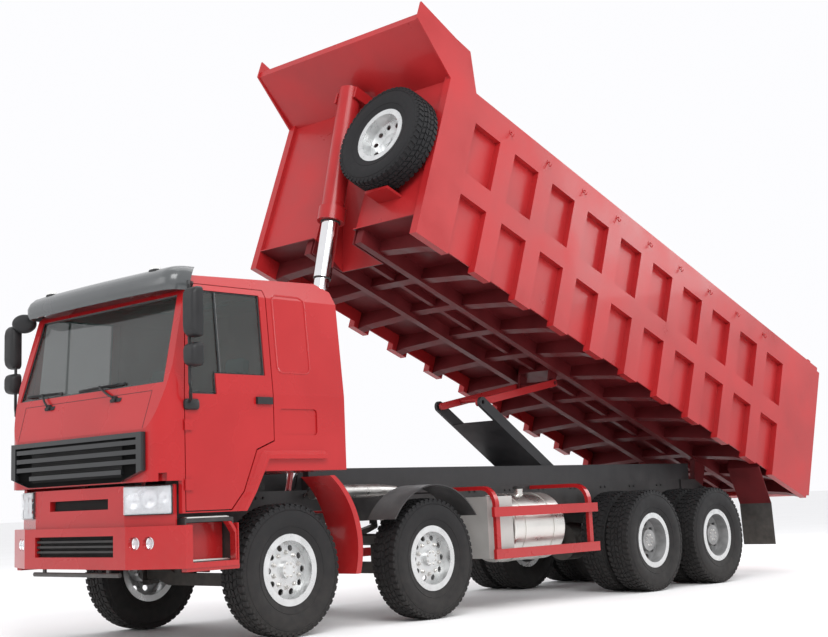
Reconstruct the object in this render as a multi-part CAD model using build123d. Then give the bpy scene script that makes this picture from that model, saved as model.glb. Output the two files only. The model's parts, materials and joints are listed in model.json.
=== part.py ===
from build123d import *
import math
import os

# Four-axle forward-control dump truck with a front hoist, its bed raised about a pin behind the frame.
# X runs to the truck's left, Y to its rear and Z up, in millimetres, with the ground at Z = 0.
# The bed is drawn lowered and then turned to its stored tilt about the rear pin.

# General clearances
fit_gap = 0.3
running_gap = 8.0
pin_gap = 0.06
overrun = 40.0

# Axle places along the truck, from the first axle backwards
axle_1_y = -4144.4
steer_axle_spacing = 1800.0
wheelbase_gap = 3600.0
bogie_spacing = 1350.0
axle_2_y = axle_1_y + steer_axle_spacing
axle_3_y = axle_2_y + wheelbase_gap
axle_4_y = axle_3_y + bogie_spacing
bogie_y = (axle_3_y + axle_4_y) / 2

# Tyres and rims
tyre_radius = 562.5
tyre_half_width = 157.5
tread_half_width = 128.0
shoulder_drop = 16.0
sidewall_radius = 440.0
bead_half_width = 112.0
bead_radius = 262.0
flange_radius = 303.0
flange_thickness = 12.0
rim_half_width = bead_half_width + flange_thickness
rim_bore = 246.0
disc_thickness = 14.0
hand_hole_radius = 27.0
hand_hole_count = 10
hand_hole_circle = 192.0
hub_radius = 118.0
front_track_half = 1011.0
twin_inner_x = 740.0
twin_outer_x = 1090.0
front_disc_offset = 70.0
front_disc_dish = 26.0
rear_disc_offset = -40.0
rear_disc_dish = -30.0
twin_disc_gap = 60.0
hub_length = 150.0
hub_cap_radius = 74.0
hub_cap_length = 36.0
rear_hub_reach = 60.0

# Steering
kingpin_x = 860.0
kingpin_radius = 26.0
knuckle_arm_height = 150.0
knuckle_arm_thickness = 34.0
knuckle_depth = 110.0
knuckle_back_x = 815.0
axle_eye_half_height = 95.0
axle_eye_half_width = 42.0

# Frame
rail_outer_x = 430.0
rail_flange = 80.0
rail_web = 14.0
rail_low_z = 930.0
rail_high_z = 1240.0
rail_front_ahead = 1080.0
rail_front_y = axle_1_y - rail_front_ahead
rail_rear_behind = 7560.0
rail_rear_y = axle_1_y + rail_rear_behind
cross_tube_radius = 62.0
cross_offsets = (-820.0, 2380.0, 3250.0, 5110.0, 6075.0, 7040.0)
subframe_low_z = rail_high_z
subframe_high_z = 1440.0
subframe_front_behind = 880.0
subframe_front_y = axle_1_y + subframe_front_behind
subframe_cross_offsets = (1550.0, 2750.0, 5250.0, 6500.0)
subframe_cross_width = 120.0
subframe_cross_height = 140.0
subframe_rear_inset = 100.0
cross_drop = 30.0
cradle_half = 90.0
cradle_height = 60.0
cheek_root = 34.0
cheek_half = 62.0

# Bed pivot and stored tilt
pivot_behind = 7682.0
pivot_y = axle_1_y + pivot_behind
pivot_z = 1100.0
bed_tilt = 20.5
pivot_pin_radius = 40.0
pivot_lug_radius = 85.0
lug_foot_share = 0.86
pivot_lug_low_x = 352.0
pivot_lug_high_x = 422.0
pivot_cheek = 22.0
pivot_reach = 520.0
hinge_root = 320.0

# Bed outline, as lengths ahead of the pivot and heights above it when lowered
bed_front = 6561.0
bed_rear = -1237.0
bed_half_width = 1250.0
bed_floor_low = 500.0
bed_floor_high = 512.0
bed_rail_top = 2148.0
bed_rail_depth = 320.0
bed_wall_depth = 90.0
bed_wall_inner_x = bed_half_width - bed_wall_depth
bed_sheet = 16.0
post_bottom = 294.0
sheet_bottom = 360.0
mid_rail_low = 985.0
mid_rail_high = 1232.0
pocket_count = 10
pocket_first_rear = 5664.0
pocket_pitch = 668.0
pocket_length = 415.0
headboard_thickness = 60.0
headboard_setback = 40.0
longitudinal_low = 350.0
longitudinal_outer_x = 430.0
longitudinal_width = 90.0
cross_member_width = 110.0
central_beam_width = 60.0
underframe_rear = -1150.0
cross_member_low = 400.0
central_beam_low = 420.0
outrigger_rise = 30.0
outrigger_tuck = 120.0
link_lug_half = 90.0
link_lug_x = 225.0
link_lug_width = 26.0
pin_end = 16.0

# Headboard bay for the hoist
bay_half_width = 300.0
bay_plate = 12.0
bay_top = 1800.0
bay_depth = 460.0

# Canopy over the cab
canopy_root_height = 2110.0
canopy_tip_ahead = 7170.0
canopy_tip_height = 2440.0
canopy_plate = 20.0
canopy_lip = 70.0
gusset_tip_height = 2640.0
gusset_knee_ahead = 6610.0
gusset_knee_height = 2556.0
gusset_rear_ahead = 6372.0
gusset_rear_height = 2540.0
gusset_foot_ahead = 6149.0

# Tailgate
gate_gap = 12.0
gate_thickness = 90.0
gate_sheet = 14.0
gate_hinge_ahead = -1180.0
gate_hinge_height = 2215.0
gate_pin_radius = 18.0
gate_arm_thickness = 30.0
gate_arm_inset = 150.0
gate_arm_x = bed_half_width - gate_arm_inset
gate_arm_height = 70.0
gate_ear_thickness = 20.0
gate_ear_gap = 17.0
gate_pin_inset = 4.0
gate_rib_count = 4
gate_rib_width = 110.0
gate_side_inset = 20.0
gate_drop = 150.0
gate_low = bed_floor_high - gate_drop
gate_top_drop = 30.0
gate_mid_low = 1180.0
gate_arm_low = 1900.0
gate_ear_root = bed_rail_top

# Hoist
hoist_base_behind = 1000.0
hoist_base_y = axle_1_y + hoist_base_behind
hoist_base_z = 1150.0
hoist_eye_ahead = 6800.0
hoist_eye_height = 2050.0
barrel_radius = 120.0
barrel_length = 1450.0
collar_radius = 145.0
collar_length = 150.0
stage_count = 4
stage_first_radius = 92.0
stage_radius_step = 13.0
stage_shortfall = 70.0
stage_length = barrel_length - stage_shortfall
stage_nest = 40.0
hoist_eye_radius = 60.0
hoist_eye_half_width = 55.0
hoist_pin_radius = 30.0
hoist_cheek = 24.0
hoist_side_gap = 6.0
barrel_top = 90.0
barrel_crown = 60.0
stage_slack = 5.0
hoist_closed = 2000.0

# Stabiliser links
link_base_behind = 4850.0
link_base_y = axle_1_y + link_base_behind
link_base_z = 1330.0
knee_behind = 3590.0
knee_y = axle_1_y + knee_behind
knee_z = 2140.0
link_bed_ahead = 3000.0
link_bed_height = 270.0
lower_arm_outer_x = 336.0
lower_arm_width = 36.0
lower_arm_depth = 120.0
lower_plate = 14.0
upper_arm_outer_x = 286.0
upper_arm_width = 32.0
upper_arm_depth = 80.0
link_pin_radius = 24.0
plate_share = 0.62
brace_share = 0.22

# Cab shell
cab_half_width = 1190.0
cab_roof_half_width = 1115.0
cab_wall = 48.0
cab_front_ahead = 1390.0
cab_front_y = axle_1_y - cab_front_ahead
cab_glass_low_ahead = 1290.0
cab_glass_low_y = axle_1_y - cab_glass_low_ahead
cab_glass_high_ahead = 1075.0
cab_glass_high_y = axle_1_y - cab_glass_high_ahead
cab_roof_front_ahead = 930.0
cab_roof_front_y = axle_1_y - cab_roof_front_ahead
cab_rear_behind = 650.0
cab_rear_y = axle_1_y + cab_rear_behind
cab_front_low_z = 1335.0
cab_grille_top_z = 1760.0
cab_glass_low_z = 2105.0
cab_glass_high_z = 2900.0
cab_roof_front_z = 3050.0
cab_roof_rear_z = 3100.0
cab_waist_z = 2050.0
cab_floor_z = 1400.0
cab_floor_thickness = 40.0
cab_skirt_z = 1075.0
cab_corner_radius = 240.0
cab_roof_radius = 150.0
arch_top_z = 1500.0
arch_front_ahead = 575.0
arch_front_y = axle_1_y - arch_front_ahead
arch_shoulder_ahead = 290.0
arch_shoulder_y = axle_1_y - arch_shoulder_ahead
arch_knee_ahead = 440.0
arch_knee_y = axle_1_y - arch_knee_ahead
arch_knee_z = 1230.0
flare_proud = 45.0
flare_width = 80.0
flare_lip = 34.0
flare_sink = 12.0
cab_tilt_ahead = 1270.0
cab_tilt_y = axle_1_y - cab_tilt_ahead
cab_tilt_z = 1020.0
tilt_pin_radius = 26.0
tilt_ear = 40.0
tilt_ear_x = 325.0
cab_panel_ahead = 1180.0
cab_panel_y = axle_1_y - cab_panel_ahead
tilt_ear_half = 38.0
tilt_ear_reach = 340.0
recess_depth = 12.0
recess_corner = 35.0
recess_front_ahead = 125.0
recess_front_y = axle_1_y - recess_front_ahead
recess_rear_behind = 310.0
recess_rear_y = axle_1_y + recess_rear_behind
recess_levels = (
    # low, high
    (1705.0, 1930.0),
    (2240.0, 2940.0),
)

# Doors
door_front_ahead = 1150.0
door_front_y = axle_1_y - door_front_ahead
door_rear_ahead = 190.0
door_rear_y = axle_1_y - door_rear_ahead
door_low_z = 1085.0
door_high_z = 2975.0
door_top_front_ahead = 1066.0
door_top_front_y = axle_1_y - door_top_front_ahead
door_gap = 9.0
door_cut_inner_x = 1060.0
door_window_low_z = 2210.0
door_window_front_low_z = 2035.0
door_window_high_z = 2915.0
door_window_front_ahead = 1075.0
door_window_front_y = axle_1_y - door_window_front_ahead
door_window_top_front_ahead = 1020.0
door_window_top_front_y = axle_1_y - door_window_top_front_ahead
door_window_step_ahead = 812.0
door_window_step_y = axle_1_y - door_window_step_ahead
door_window_rear_ahead = 268.0
door_window_rear_y = axle_1_y - door_window_rear_ahead
door_glass_thickness = 6.0
door_hinge_proud = 14.0
door_hinge_x = cab_half_width + door_hinge_proud
door_hinge_radius = 8.0
door_hinge_height = 90.0
door_hinge_levels = (1300.0, 1780.0)
door_strap = 60.0
door_strap_sink = 4.0
handle_ahead = 305.0
handle_y = axle_1_y - handle_ahead
handle_z = 1993.0
handle_length = 170.0
handle_height = 60.0
handle_depth = 26.0
door_arch_rise = 150.0
door_arch_side = 95.0
handle_sink = 6.0

# Windscreen
screen_half_low = 1095.0
screen_half_high = 1030.0
screen_low_z = 2130.0
screen_high_z = 2870.0
screen_thickness = 8.0

# Grille panel on the cab
grille_half_width = 990.0
grille_low_half_width = 700.0
grille_top_z = 1735.0
grille_side_z = 1425.0
grille_low_z = 1345.0
grille_depth = 45.0
grille_frame = 40.0
grille_slats = 4
grille_slat_height = 38.0
grille_open_share = 0.93
grille_back = 8.0
grille_slat_set = 8.0

# Sun visor
visor_seat = 60.0
visor_lift = 2.5
visor_front_ahead = 1350.0
visor_front_y = axle_1_y - visor_front_ahead
visor_top_z = 3075.0
visor_low_z = 2905.0
visor_half_width = 1120.0
visor_thickness = 16.0
visor_mid_ahead = 1200.0
visor_mid_y = axle_1_y - visor_mid_ahead
visor_crown = 30.0

# Bumper and lamp panel
bumper_centre_half = 760.0
bumper_half_width = 1280.0
bumper_front_ahead = 1430.0
bumper_front_y = axle_1_y - bumper_front_ahead
bumper_corner_ahead = 1222.0
bumper_corner_y = axle_1_y - bumper_corner_ahead
bumper_end_ahead = 680.0
bumper_end_y = axle_1_y - bumper_end_ahead
bumper_low_z = 646.0
bumper_high_z = 984.0
bumper_shell = 60.0
bumper_grille_half = 590.0
bumper_grille_low_z = 745.0
bumper_grille_high_z = 915.0
panel_half_width = 1135.0
panel_drop = 25.0
panel_high_z = cab_front_low_z - panel_drop
panel_front_ahead = 1375.0
panel_front_y = axle_1_y - panel_front_ahead
panel_side_ahead = 1215.0
panel_side_y = axle_1_y - panel_side_ahead
slot_half_width = 440.0
slot_low_z = 1130.0
slot_high_z = 1215.0
headlamp_inner_x = 690.0
headlamp_outer_x = 1120.0
headlamp_low_z = 1080.0
headlamp_high_z = 1300.0
headlamp_depth = 18.0
fog_lamp_radius = 52.0
fog_lamp_places = (835.0, 960.0)
fog_lamp_z = 850.0
fog_lamp_recess = 26.0
fog_lamp_depth = 40.0
guard_bar_radius = 19.0
guard_bar_z = 600.0
guard_bar_half = 640.0
bumper_bars = 3
bumper_bar = 18.0
panel_tuck = 20.0
panel_return = 20.0
step_cut_inset = 10.0
bumper_bracket = 50.0
hanger_share = 0.75
lamp_sweep_near = 6.0
lamp_proud = 14.0

# Steps beside the cab
step_inner_x = 900.0
step_outer_x = 1262.0
step_front_ahead = 1160.0
step_front_y = axle_1_y - step_front_ahead
step_rear_ahead = 665.0
step_rear_y = axle_1_y - step_rear_ahead
step_levels = (660.0, 1000.0)
step_tread = 32.0
step_arm = 60.0

# Mudguards
guard_sheet = 12.0
half_guard_behind = 680.0
half_guard_y = axle_1_y + half_guard_behind
half_guard_low_z = 487.0
half_guard_bow_behind = 655.0
half_guard_bow_y = axle_1_y + half_guard_bow_behind
half_guard_bow_z = 1035.0
half_guard_front_behind = 400.0
half_guard_front_y = axle_1_y + half_guard_front_behind
half_guard_front_z = 1352.0
half_guard_lip = 60.0
mudguard_inner_x = 850.0
mudguard_outer_x = 1235.0
arc_guard_radius = 690.0
arc_low_share = 0.55
arc_stay = 300.0

# Fuel tank, boxes and side guard
tank_axis_x = 800.0
tank_axis_z = 795.0
tank_radius = 345.0
tank_front_behind = 3050.0
tank_front_y = axle_1_y + tank_front_behind
tank_rear_behind = 3885.0
tank_rear_y = axle_1_y + tank_rear_behind
tank_band_width = 50.0
tank_band_proud = 6.0
tank_edge = 30.0
tank_neck_x = 60.0
tank_neck_radius = 48.0
tank_neck_height = 90.0
tank_strap_shares = (0.22, 0.78)
box_inner_x = 500.0
battery_outer_x = 1140.0
battery_front_behind = 2620.0
battery_front_y = axle_1_y + battery_front_behind
battery_rear_behind = 3010.0
battery_rear_y = axle_1_y + battery_rear_behind
battery_low_z = 510.0
battery_high_z = 1115.0
side_bar_x = 1215.0
side_bar_thickness = 36.0
side_bar_height = 95.0
side_bar_front_behind = 2600.0
side_bar_front_y = axle_1_y + side_bar_front_behind
side_bar_rear_behind = 4320.0
side_bar_rear_y = axle_1_y + side_bar_rear_behind
side_bar_levels = (505.0, 915.0)
side_post_inset = 60.0
side_post_width = 60.0
side_post_depth = 40.0
side_post_top = 1180.0
side_post_bend = 190.0
air_tank_radius = 145.0
air_tank_length = 700.0
air_tank_x = 620.0
air_tank_rise = 160.0
box_lug = 50.0

# Exhaust
pipe_x = 600.0
pipe_z = 1215.0
pipe_radius = 62.0
pipe_front_behind = 760.0
pipe_front_y = axle_1_y + pipe_front_behind
pipe_rear_behind = 1620.0
pipe_rear_y = axle_1_y + pipe_rear_behind
pipe_cone_behind = 1880.0
pipe_cone_y = axle_1_y + pipe_cone_behind
pipe_tail_radius = 38.0

# Axles and springs
front_spring_drop = 90.0
hanger_length = 40.0
bogie_seat_half = 130.0
bogie_seat_height = 160.0
shaft_z = 780.0
beam_height = 110.0
beam_width = 90.0
beam_drop = 90.0
drive_tube_radius = 85.0
drive_tube_end_x = 560.0
bowl_radius = 215.0
bowl_length = 260.0
spring_width = 90.0
spring_thickness = 78.0
spring_x = 390.0
front_spring_half = 760.0
front_spring_sag = 140.0
rear_spring_x = 490.0
rear_spring_thickness = 150.0
rear_spring_sag = 120.0
shaft_radius = 58.0

# Engine and gearbox
engine_half_width = 320.0
engine_front_ahead = 700.0
engine_front_y = axle_1_y - engine_front_ahead
engine_rear_behind = 430.0
engine_rear_y = axle_1_y + engine_rear_behind
engine_low_z = 660.0
engine_high_z = 1370.0
gearbox_rear_behind = 1250.0
gearbox_rear_y = axle_1_y + gearbox_rear_behind
gearbox_high_z = 900.0

# Bed mudflaps
flap_inset = 550.0
flap_x = bed_half_width - flap_inset
flap_width = 450.0
flap_sheet = 10.0
flap_root_ahead = -180.0
flap_root_height = 340.0
flap_knee_ahead = -557.0
flap_knee_height = -5.0
flap_tip_ahead = -759.0
flap_tip_height = -480.0

# Spare wheel on the headboard
spare_side_gap = 7.5
spare_x = collar_radius + spare_side_gap + tyre_radius
spare_height = 1370.0
spare_gap = 16.0
spare_post_radius = 40.0
spare_shelf = 30.0
spare_shelf_half = 160.0

# Interior
seat_x = 560.0
seat_ahead = 380.0
seat_y = axle_1_y - seat_ahead
seat_half_width = 250.0
seat_depth = 480.0
seat_base_z = 1620.0
seat_cushion = 130.0
seat_back_height = 700.0
seat_back_thickness = 120.0
dash_rear_ahead = 830.0
dash_rear_y = axle_1_y - dash_rear_ahead
dash_high_z = 2080.0
dash_low_z = 1640.0
wheel_x = 560.0
wheel_centre_ahead = 720.0
wheel_centre_y = axle_1_y - wheel_centre_ahead
wheel_centre_z = 2010.0
wheel_rim_radius = 225.0
wheel_rim_thickness = 16.0
wheel_tilt = 38.0
plinth_share = 0.8
seat_rake = 110.0
dash_gap = 14.0
dash_slope = 70.0
dash_side = 84.0
dash_leg_half = 240.0
column_length = 330.0
column_radius = 34.0
spoke_width = 56.0

# Rear lamps with the bar and tow plate that carry them
rear_lamp_x = 640.0
rear_lamp_width = 300.0
rear_lamp_height = 110.0
rear_lamp_depth = 60.0
rear_lamp_z = 860.0
lamp_bar_inset = 12.0
tow_plate_thickness = 20.0
tow_bore_radius = 26.0
tow_bore_height = 75.0

# Door mirrors
mirror_ahead = 1105.0
mirror_y = axle_1_y - mirror_ahead
mirror_low_z = 1970.0
mirror_high_z = 2900.0
mirror_rise = 20.0
mirror_forward = 90.0
mirror_x = 1330.0
mirror_rod = 14.0
mirror_arm = 10.0
mirror_foot = 12.0
mirror_high_inset = 89.0
mirror_high_ahead = 1000.0
mirror_high_y = axle_1_y - mirror_high_ahead
mirror_top_z = 2940.0
mirror_head_low = 2480.0
mirror_head_high = 2880.0
mirror_small_low = 2240.0
mirror_small_high = 2420.0
mirror_head_inner = 30.0
mirror_head_outer = 130.0
mirror_head_depth = 45.0

# Steered and driven axles
wheel_table = (
    # name, axle place
    ("1", axle_1_y),
    ("2", axle_2_y),
)
drive_table = (
    # name, axle place
    ("3", axle_3_y),
    ("4", axle_4_y),
)


def block(x_pair, y_pair, z_pair):
    """A box given by its two faces along each axis."""
    (xa, xb), (ya, yb), (za, zb) = x_pair, y_pair, z_pair
    return Pos((xa + xb) / 2, (ya + yb) / 2, (za + zb) / 2) * Box(abs(xb - xa), abs(yb - ya), abs(zb - za))


def prism_x(points, xa, xb):
    """An outline in Y and Z drawn through from xa to xb."""
    face = make_face(Polyline(*[(0, y, z) for y, z in points], close=True))
    return Pos(xa, 0, 0) * extrude(face, amount=xb - xa, dir=(1, 0, 0))


def prism_y(points, ya, yb):
    """An outline in X and Z drawn through from ya to yb."""
    face = make_face(Polyline(*[(x, 0, z) for x, z in points], close=True))
    return Pos(0, ya, 0) * extrude(face, amount=yb - ya, dir=(0, 1, 0))


def prism_z(points, za, zb):
    """An outline in X and Y drawn through from za to zb."""
    face = make_face(Polyline(*[(x, y, 0) for x, y in points], close=True))
    return Pos(0, 0, za) * extrude(face, amount=zb - za, dir=(0, 0, 1))


def rod_between(start, end, radius):
    """A round bar between two points."""
    line = Vector(*end) - Vector(*start)
    plane = Plane(origin=start, z_dir=line)
    return plane * Cylinder(radius, line.length, align=(Align.CENTER, Align.CENTER, Align.MIN))


def rod_x(y, z, radius, xa, xb):
    """A round bar along X."""
    return rod_between((xa, y, z), (xb, y, z), radius)


def turned_x(profile, x, y, z):
    """A body of revolution about an X axis, from (offset along X, radius) points."""
    face = make_face(Polyline(*[(offset, radius, 0) for offset, radius in profile], close=True))
    return Pos(x, y, z) * revolve(face, axis=Axis.X)


def bent_sheet(start, middle, end, thickness, xa, xb):
    """A sheet bowed through three places in Y and Z, its thickness added along Y, drawn from xa to xb."""
    shift = (0, thickness, 0)
    points = [Vector(0, *place) for place in (start, middle, end)]
    near = ThreePointArc(*points)
    far = ThreePointArc(*[point + Vector(*shift) for point in reversed(points)])
    face = make_face([near, Line(near @ 1, far @ 0), far, Line(far @ 1, near @ 0)])
    return Pos(xa, 0, 0) * extrude(face, amount=xb - xa, dir=(1, 0, 0))


def flipped(shape):
    """The same shape on the truck's other side."""
    return mirror(shape, about=Plane.YZ)


def both(shape):
    """A shape and its twin on the other side."""
    return [shape, flipped(shape)]


def save(name, shapes):
    """Writes one node from a shape or a list of shapes."""
    solids = []
    for shape in shapes if isinstance(shapes, list) else [shapes]:
        solids.extend(shape.solids())
    body = solids[0] if len(solids) == 1 else Compound(children=solids)
    body.label = name
    export_step(body, "parts/" + name + ".step")


def bed_y(ahead):
    """Y of a place on the lowered bed, from its length ahead of the pivot."""
    return pivot_y - ahead


def bed_z(height):
    """Z of a place on the lowered bed, from its height above the pivot."""
    return pivot_z + height


def bed_prism(points, xa, xb):
    """A bed outline in lengths ahead and heights, drawn through along X."""
    return prism_x([(bed_y(ahead), bed_z(height)) for ahead, height in points], xa, xb)


def bed_block(x_pair, ahead_pair, height_pair):
    """A box on the lowered bed."""
    ahead_a, ahead_b = ahead_pair
    height_a, height_b = height_pair
    return block(x_pair, (bed_y(ahead_b), bed_y(ahead_a)), (bed_z(height_a), bed_z(height_b)))


def raised(shape):
    """Turns a piece of the lowered bed to its stored tilt."""
    return Pos(0, pivot_y, pivot_z) * Rot(-bed_tilt, 0, 0) * Pos(0, -pivot_y, -pivot_z) * shape


def raised_point(ahead, height):
    """Y and Z of a bed place at the stored tilt."""
    turn = math.radians(bed_tilt)
    y = pivot_y - ahead * math.cos(turn) + height * math.sin(turn)
    z = pivot_z + ahead * math.sin(turn) + height * math.cos(turn)
    return y, z


# Wheels

def tyre(x, y, z):
    """A tyre's outer form, seated on the rim's flanges."""
    half = [
        (bead_half_width, bead_radius),
        (bead_half_width, flange_radius),
        (tyre_half_width, sidewall_radius),
        (tread_half_width, tyre_radius - shoulder_drop),
        (tread_half_width - shoulder_drop, tyre_radius),
    ]
    other = [(-offset, radius) for offset, radius in reversed(half)]
    return turned_x(half + other, x, y, z)


def rim_disc(x, y, z, face_offset, dish):
    """A steel rim: barrel with flanges, and a disc on the side that face_offset names."""
    seat = bead_radius - fit_gap
    barrel = turned_x([
        (-rim_half_width, rim_bore), (-rim_half_width, flange_radius),
        (-bead_half_width - fit_gap, flange_radius), (-bead_half_width - fit_gap, seat),
        (bead_half_width + fit_gap, seat), (bead_half_width + fit_gap, flange_radius),
        (rim_half_width, flange_radius), (rim_half_width, rim_bore),
    ], x, y, z)
    disc = turned_x(
        [(face_offset, 0), (face_offset, hub_radius), (face_offset - dish, rim_bore + fit_gap),
         (face_offset - dish - disc_thickness, rim_bore + fit_gap),
         (face_offset - disc_thickness, hub_radius), (face_offset - disc_thickness, 0)], x, y, z,
    )
    cutters = None
    for index in range(hand_hole_count):
        turn = 2 * math.pi * index / hand_hole_count
        hole_y = y + hand_hole_circle * math.cos(turn)
        hole_z = z + hand_hole_circle * math.sin(turn)
        hole = rod_x(hole_y, hole_z, hand_hole_radius, x - rim_half_width, x + rim_half_width)
        cutters = hole if cutters is None else cutters + hole
    return barrel + (disc - cutters)


def front_wheel(y):
    """Tyre and rim with hub and drum of a steered left wheel."""
    x = front_track_half
    rim = rim_disc(x, y, tyre_radius, front_disc_offset, front_disc_dish)
    hub = rod_x(y, tyre_radius, hub_radius, x + front_disc_offset - hub_length, x + front_disc_offset)
    cap = rod_x(y, tyre_radius, hub_cap_radius, x + front_disc_offset,
                x + front_disc_offset + hub_cap_length)
    return tyre(x, y, tyre_radius), rim + hub + cap


def rear_wheel(y):
    """Twin tyres on two rims that share one hub, on the left."""
    tyres = [tyre(x, y, tyre_radius) for x in (twin_inner_x, twin_outer_x)]
    inner = rim_disc(twin_inner_x, y, tyre_radius, -rear_disc_offset + twin_disc_gap, -rear_disc_dish)
    outer = rim_disc(twin_outer_x, y, tyre_radius, rear_disc_offset, rear_disc_dish)
    hub_start = drive_tube_end_x + fit_gap
    hub = rod_x(y, tyre_radius, hub_radius, hub_start, twin_outer_x + rear_hub_reach)
    return tyres, inner + outer + hub


def knuckle(y):
    """Steering knuckle on the left: fork about the axle's eye, kingpin and stub up to the hub."""
    z = tyre_radius
    hub_back = front_track_half + front_disc_offset - hub_length
    fork_outer = kingpin_x + axle_eye_half_width + running_gap
    back = block((fork_outer, hub_back - fit_gap), (y - knuckle_depth / 2, y + knuckle_depth / 2),
                 (z - knuckle_arm_height, z + knuckle_arm_height))
    arms = None
    for side in (-1, 1):
        near = z + side * (axle_eye_half_height + running_gap)
        far = near + side * knuckle_arm_thickness
        arm = block((knuckle_back_x, fork_outer), (y - knuckle_depth / 2, y + knuckle_depth / 2),
                    (min(near, far), max(near, far)))
        arms = arm if arms is None else arms + arm
    reach = axle_eye_half_height + running_gap + knuckle_arm_thickness
    pin = Pos(kingpin_x, y, z) * Cylinder(kingpin_radius, 2 * reach)
    return back + arms + pin


def front_axle(y):
    """Dropped forged beam between the kingpins."""
    z = tyre_radius
    eye_x = kingpin_x
    half = [
        (eye_x - axle_eye_half_width, z + axle_eye_half_height),
        (eye_x + axle_eye_half_width, z + axle_eye_half_height),
        (eye_x + axle_eye_half_width, z - axle_eye_half_height),
        (eye_x - axle_eye_half_width - beam_height, z - axle_eye_half_height),
        (rail_outer_x + beam_height, z - beam_drop - beam_height / 2),
    ]
    low_left = (-rail_outer_x - beam_height, z - beam_drop - beam_height / 2)
    inner_high = (rail_outer_x, z - beam_drop + beam_height / 2)
    outline = half + [low_left] + [(-x, zz) for x, zz in reversed(half[:4])]
    outline += [(-inner_high[0], inner_high[1]), inner_high]
    beam = prism_y(outline, y - beam_width / 2, y + beam_width / 2)
    pad_top = rail_low_z - front_spring_drop - front_spring_sag - fit_gap
    for side in (-1, 1):
        beam += block((side * spring_x - spring_width / 2, side * spring_x + spring_width / 2),
                      (y - beam_width / 2, y + beam_width / 2), (z - beam_drop, pad_top))
        eye_end = block((side * eye_x, side * (eye_x + axle_eye_half_width + overrun)),
                        (y - beam_width, y + beam_width),
                        (z - 2 * axle_eye_half_height, z + 2 * axle_eye_half_height))
        beam -= eye_end - Pos(side * eye_x, y, z) * Cylinder(axle_eye_half_width, 4 * axle_eye_half_height)
        beam -= Pos(side * eye_x, y, z) * Cylinder(kingpin_radius + pin_gap, 4 * axle_eye_half_height)
    return beam


def drive_axle(y):
    """Banjo housing with its differential bowl."""
    tube = rod_x(y, tyre_radius, drive_tube_radius, -drive_tube_end_x, drive_tube_end_x)
    bowl = Pos(0, y, tyre_radius) * Rot(90, 0, 0) * Cylinder(bowl_radius, bowl_length)
    return tube + bowl


def propshaft(start_y, start_z, end_y):
    """A shaft between two flat faces across the truck's middle, down to the axles' height."""
    bar = rod_between((0, start_y - shaft_radius, start_z), (0, end_y + shaft_radius, tyre_radius),
                      shaft_radius)
    return bar & block((-shaft_radius, shaft_radius), (start_y + fit_gap, end_y - fit_gap),
                       (tyre_radius - shaft_radius, start_z + 2 * shaft_radius))


def leaf_stack(x, y, z, half_length, sag, thickness, width, upward):
    """A bowed spring pack along Y, with its middle sagging or raised."""
    middle = z - sag if not upward else z + sag
    lower = ThreePointArc((0, y - half_length, z), (0, y, middle), (0, y + half_length, z))
    upper = ThreePointArc((0, y + half_length, z + thickness / 2), (0, y, middle + thickness),
                          (0, y - half_length, z + thickness / 2))
    ends = [Line(lower @ 1, upper @ 0), Line(upper @ 1, lower @ 0)]
    face = make_face([lower, ends[0], upper, ends[1]])
    return Pos(x - width / 2, 0, 0) * extrude(face, amount=width, dir=(1, 0, 0))


def rail_profile():
    """Channel section of the left main rail, open towards the middle."""
    x_in = rail_outer_x - rail_flange
    return [
        (rail_outer_x, rail_low_z), (rail_outer_x, rail_high_z), (x_in, rail_high_z),
        (x_in, rail_high_z - rail_web), (rail_outer_x - rail_web, rail_high_z - rail_web),
        (rail_outer_x - rail_web, rail_low_z + rail_web), (x_in, rail_low_z + rail_web),
        (x_in, rail_low_z),
    ]


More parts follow.
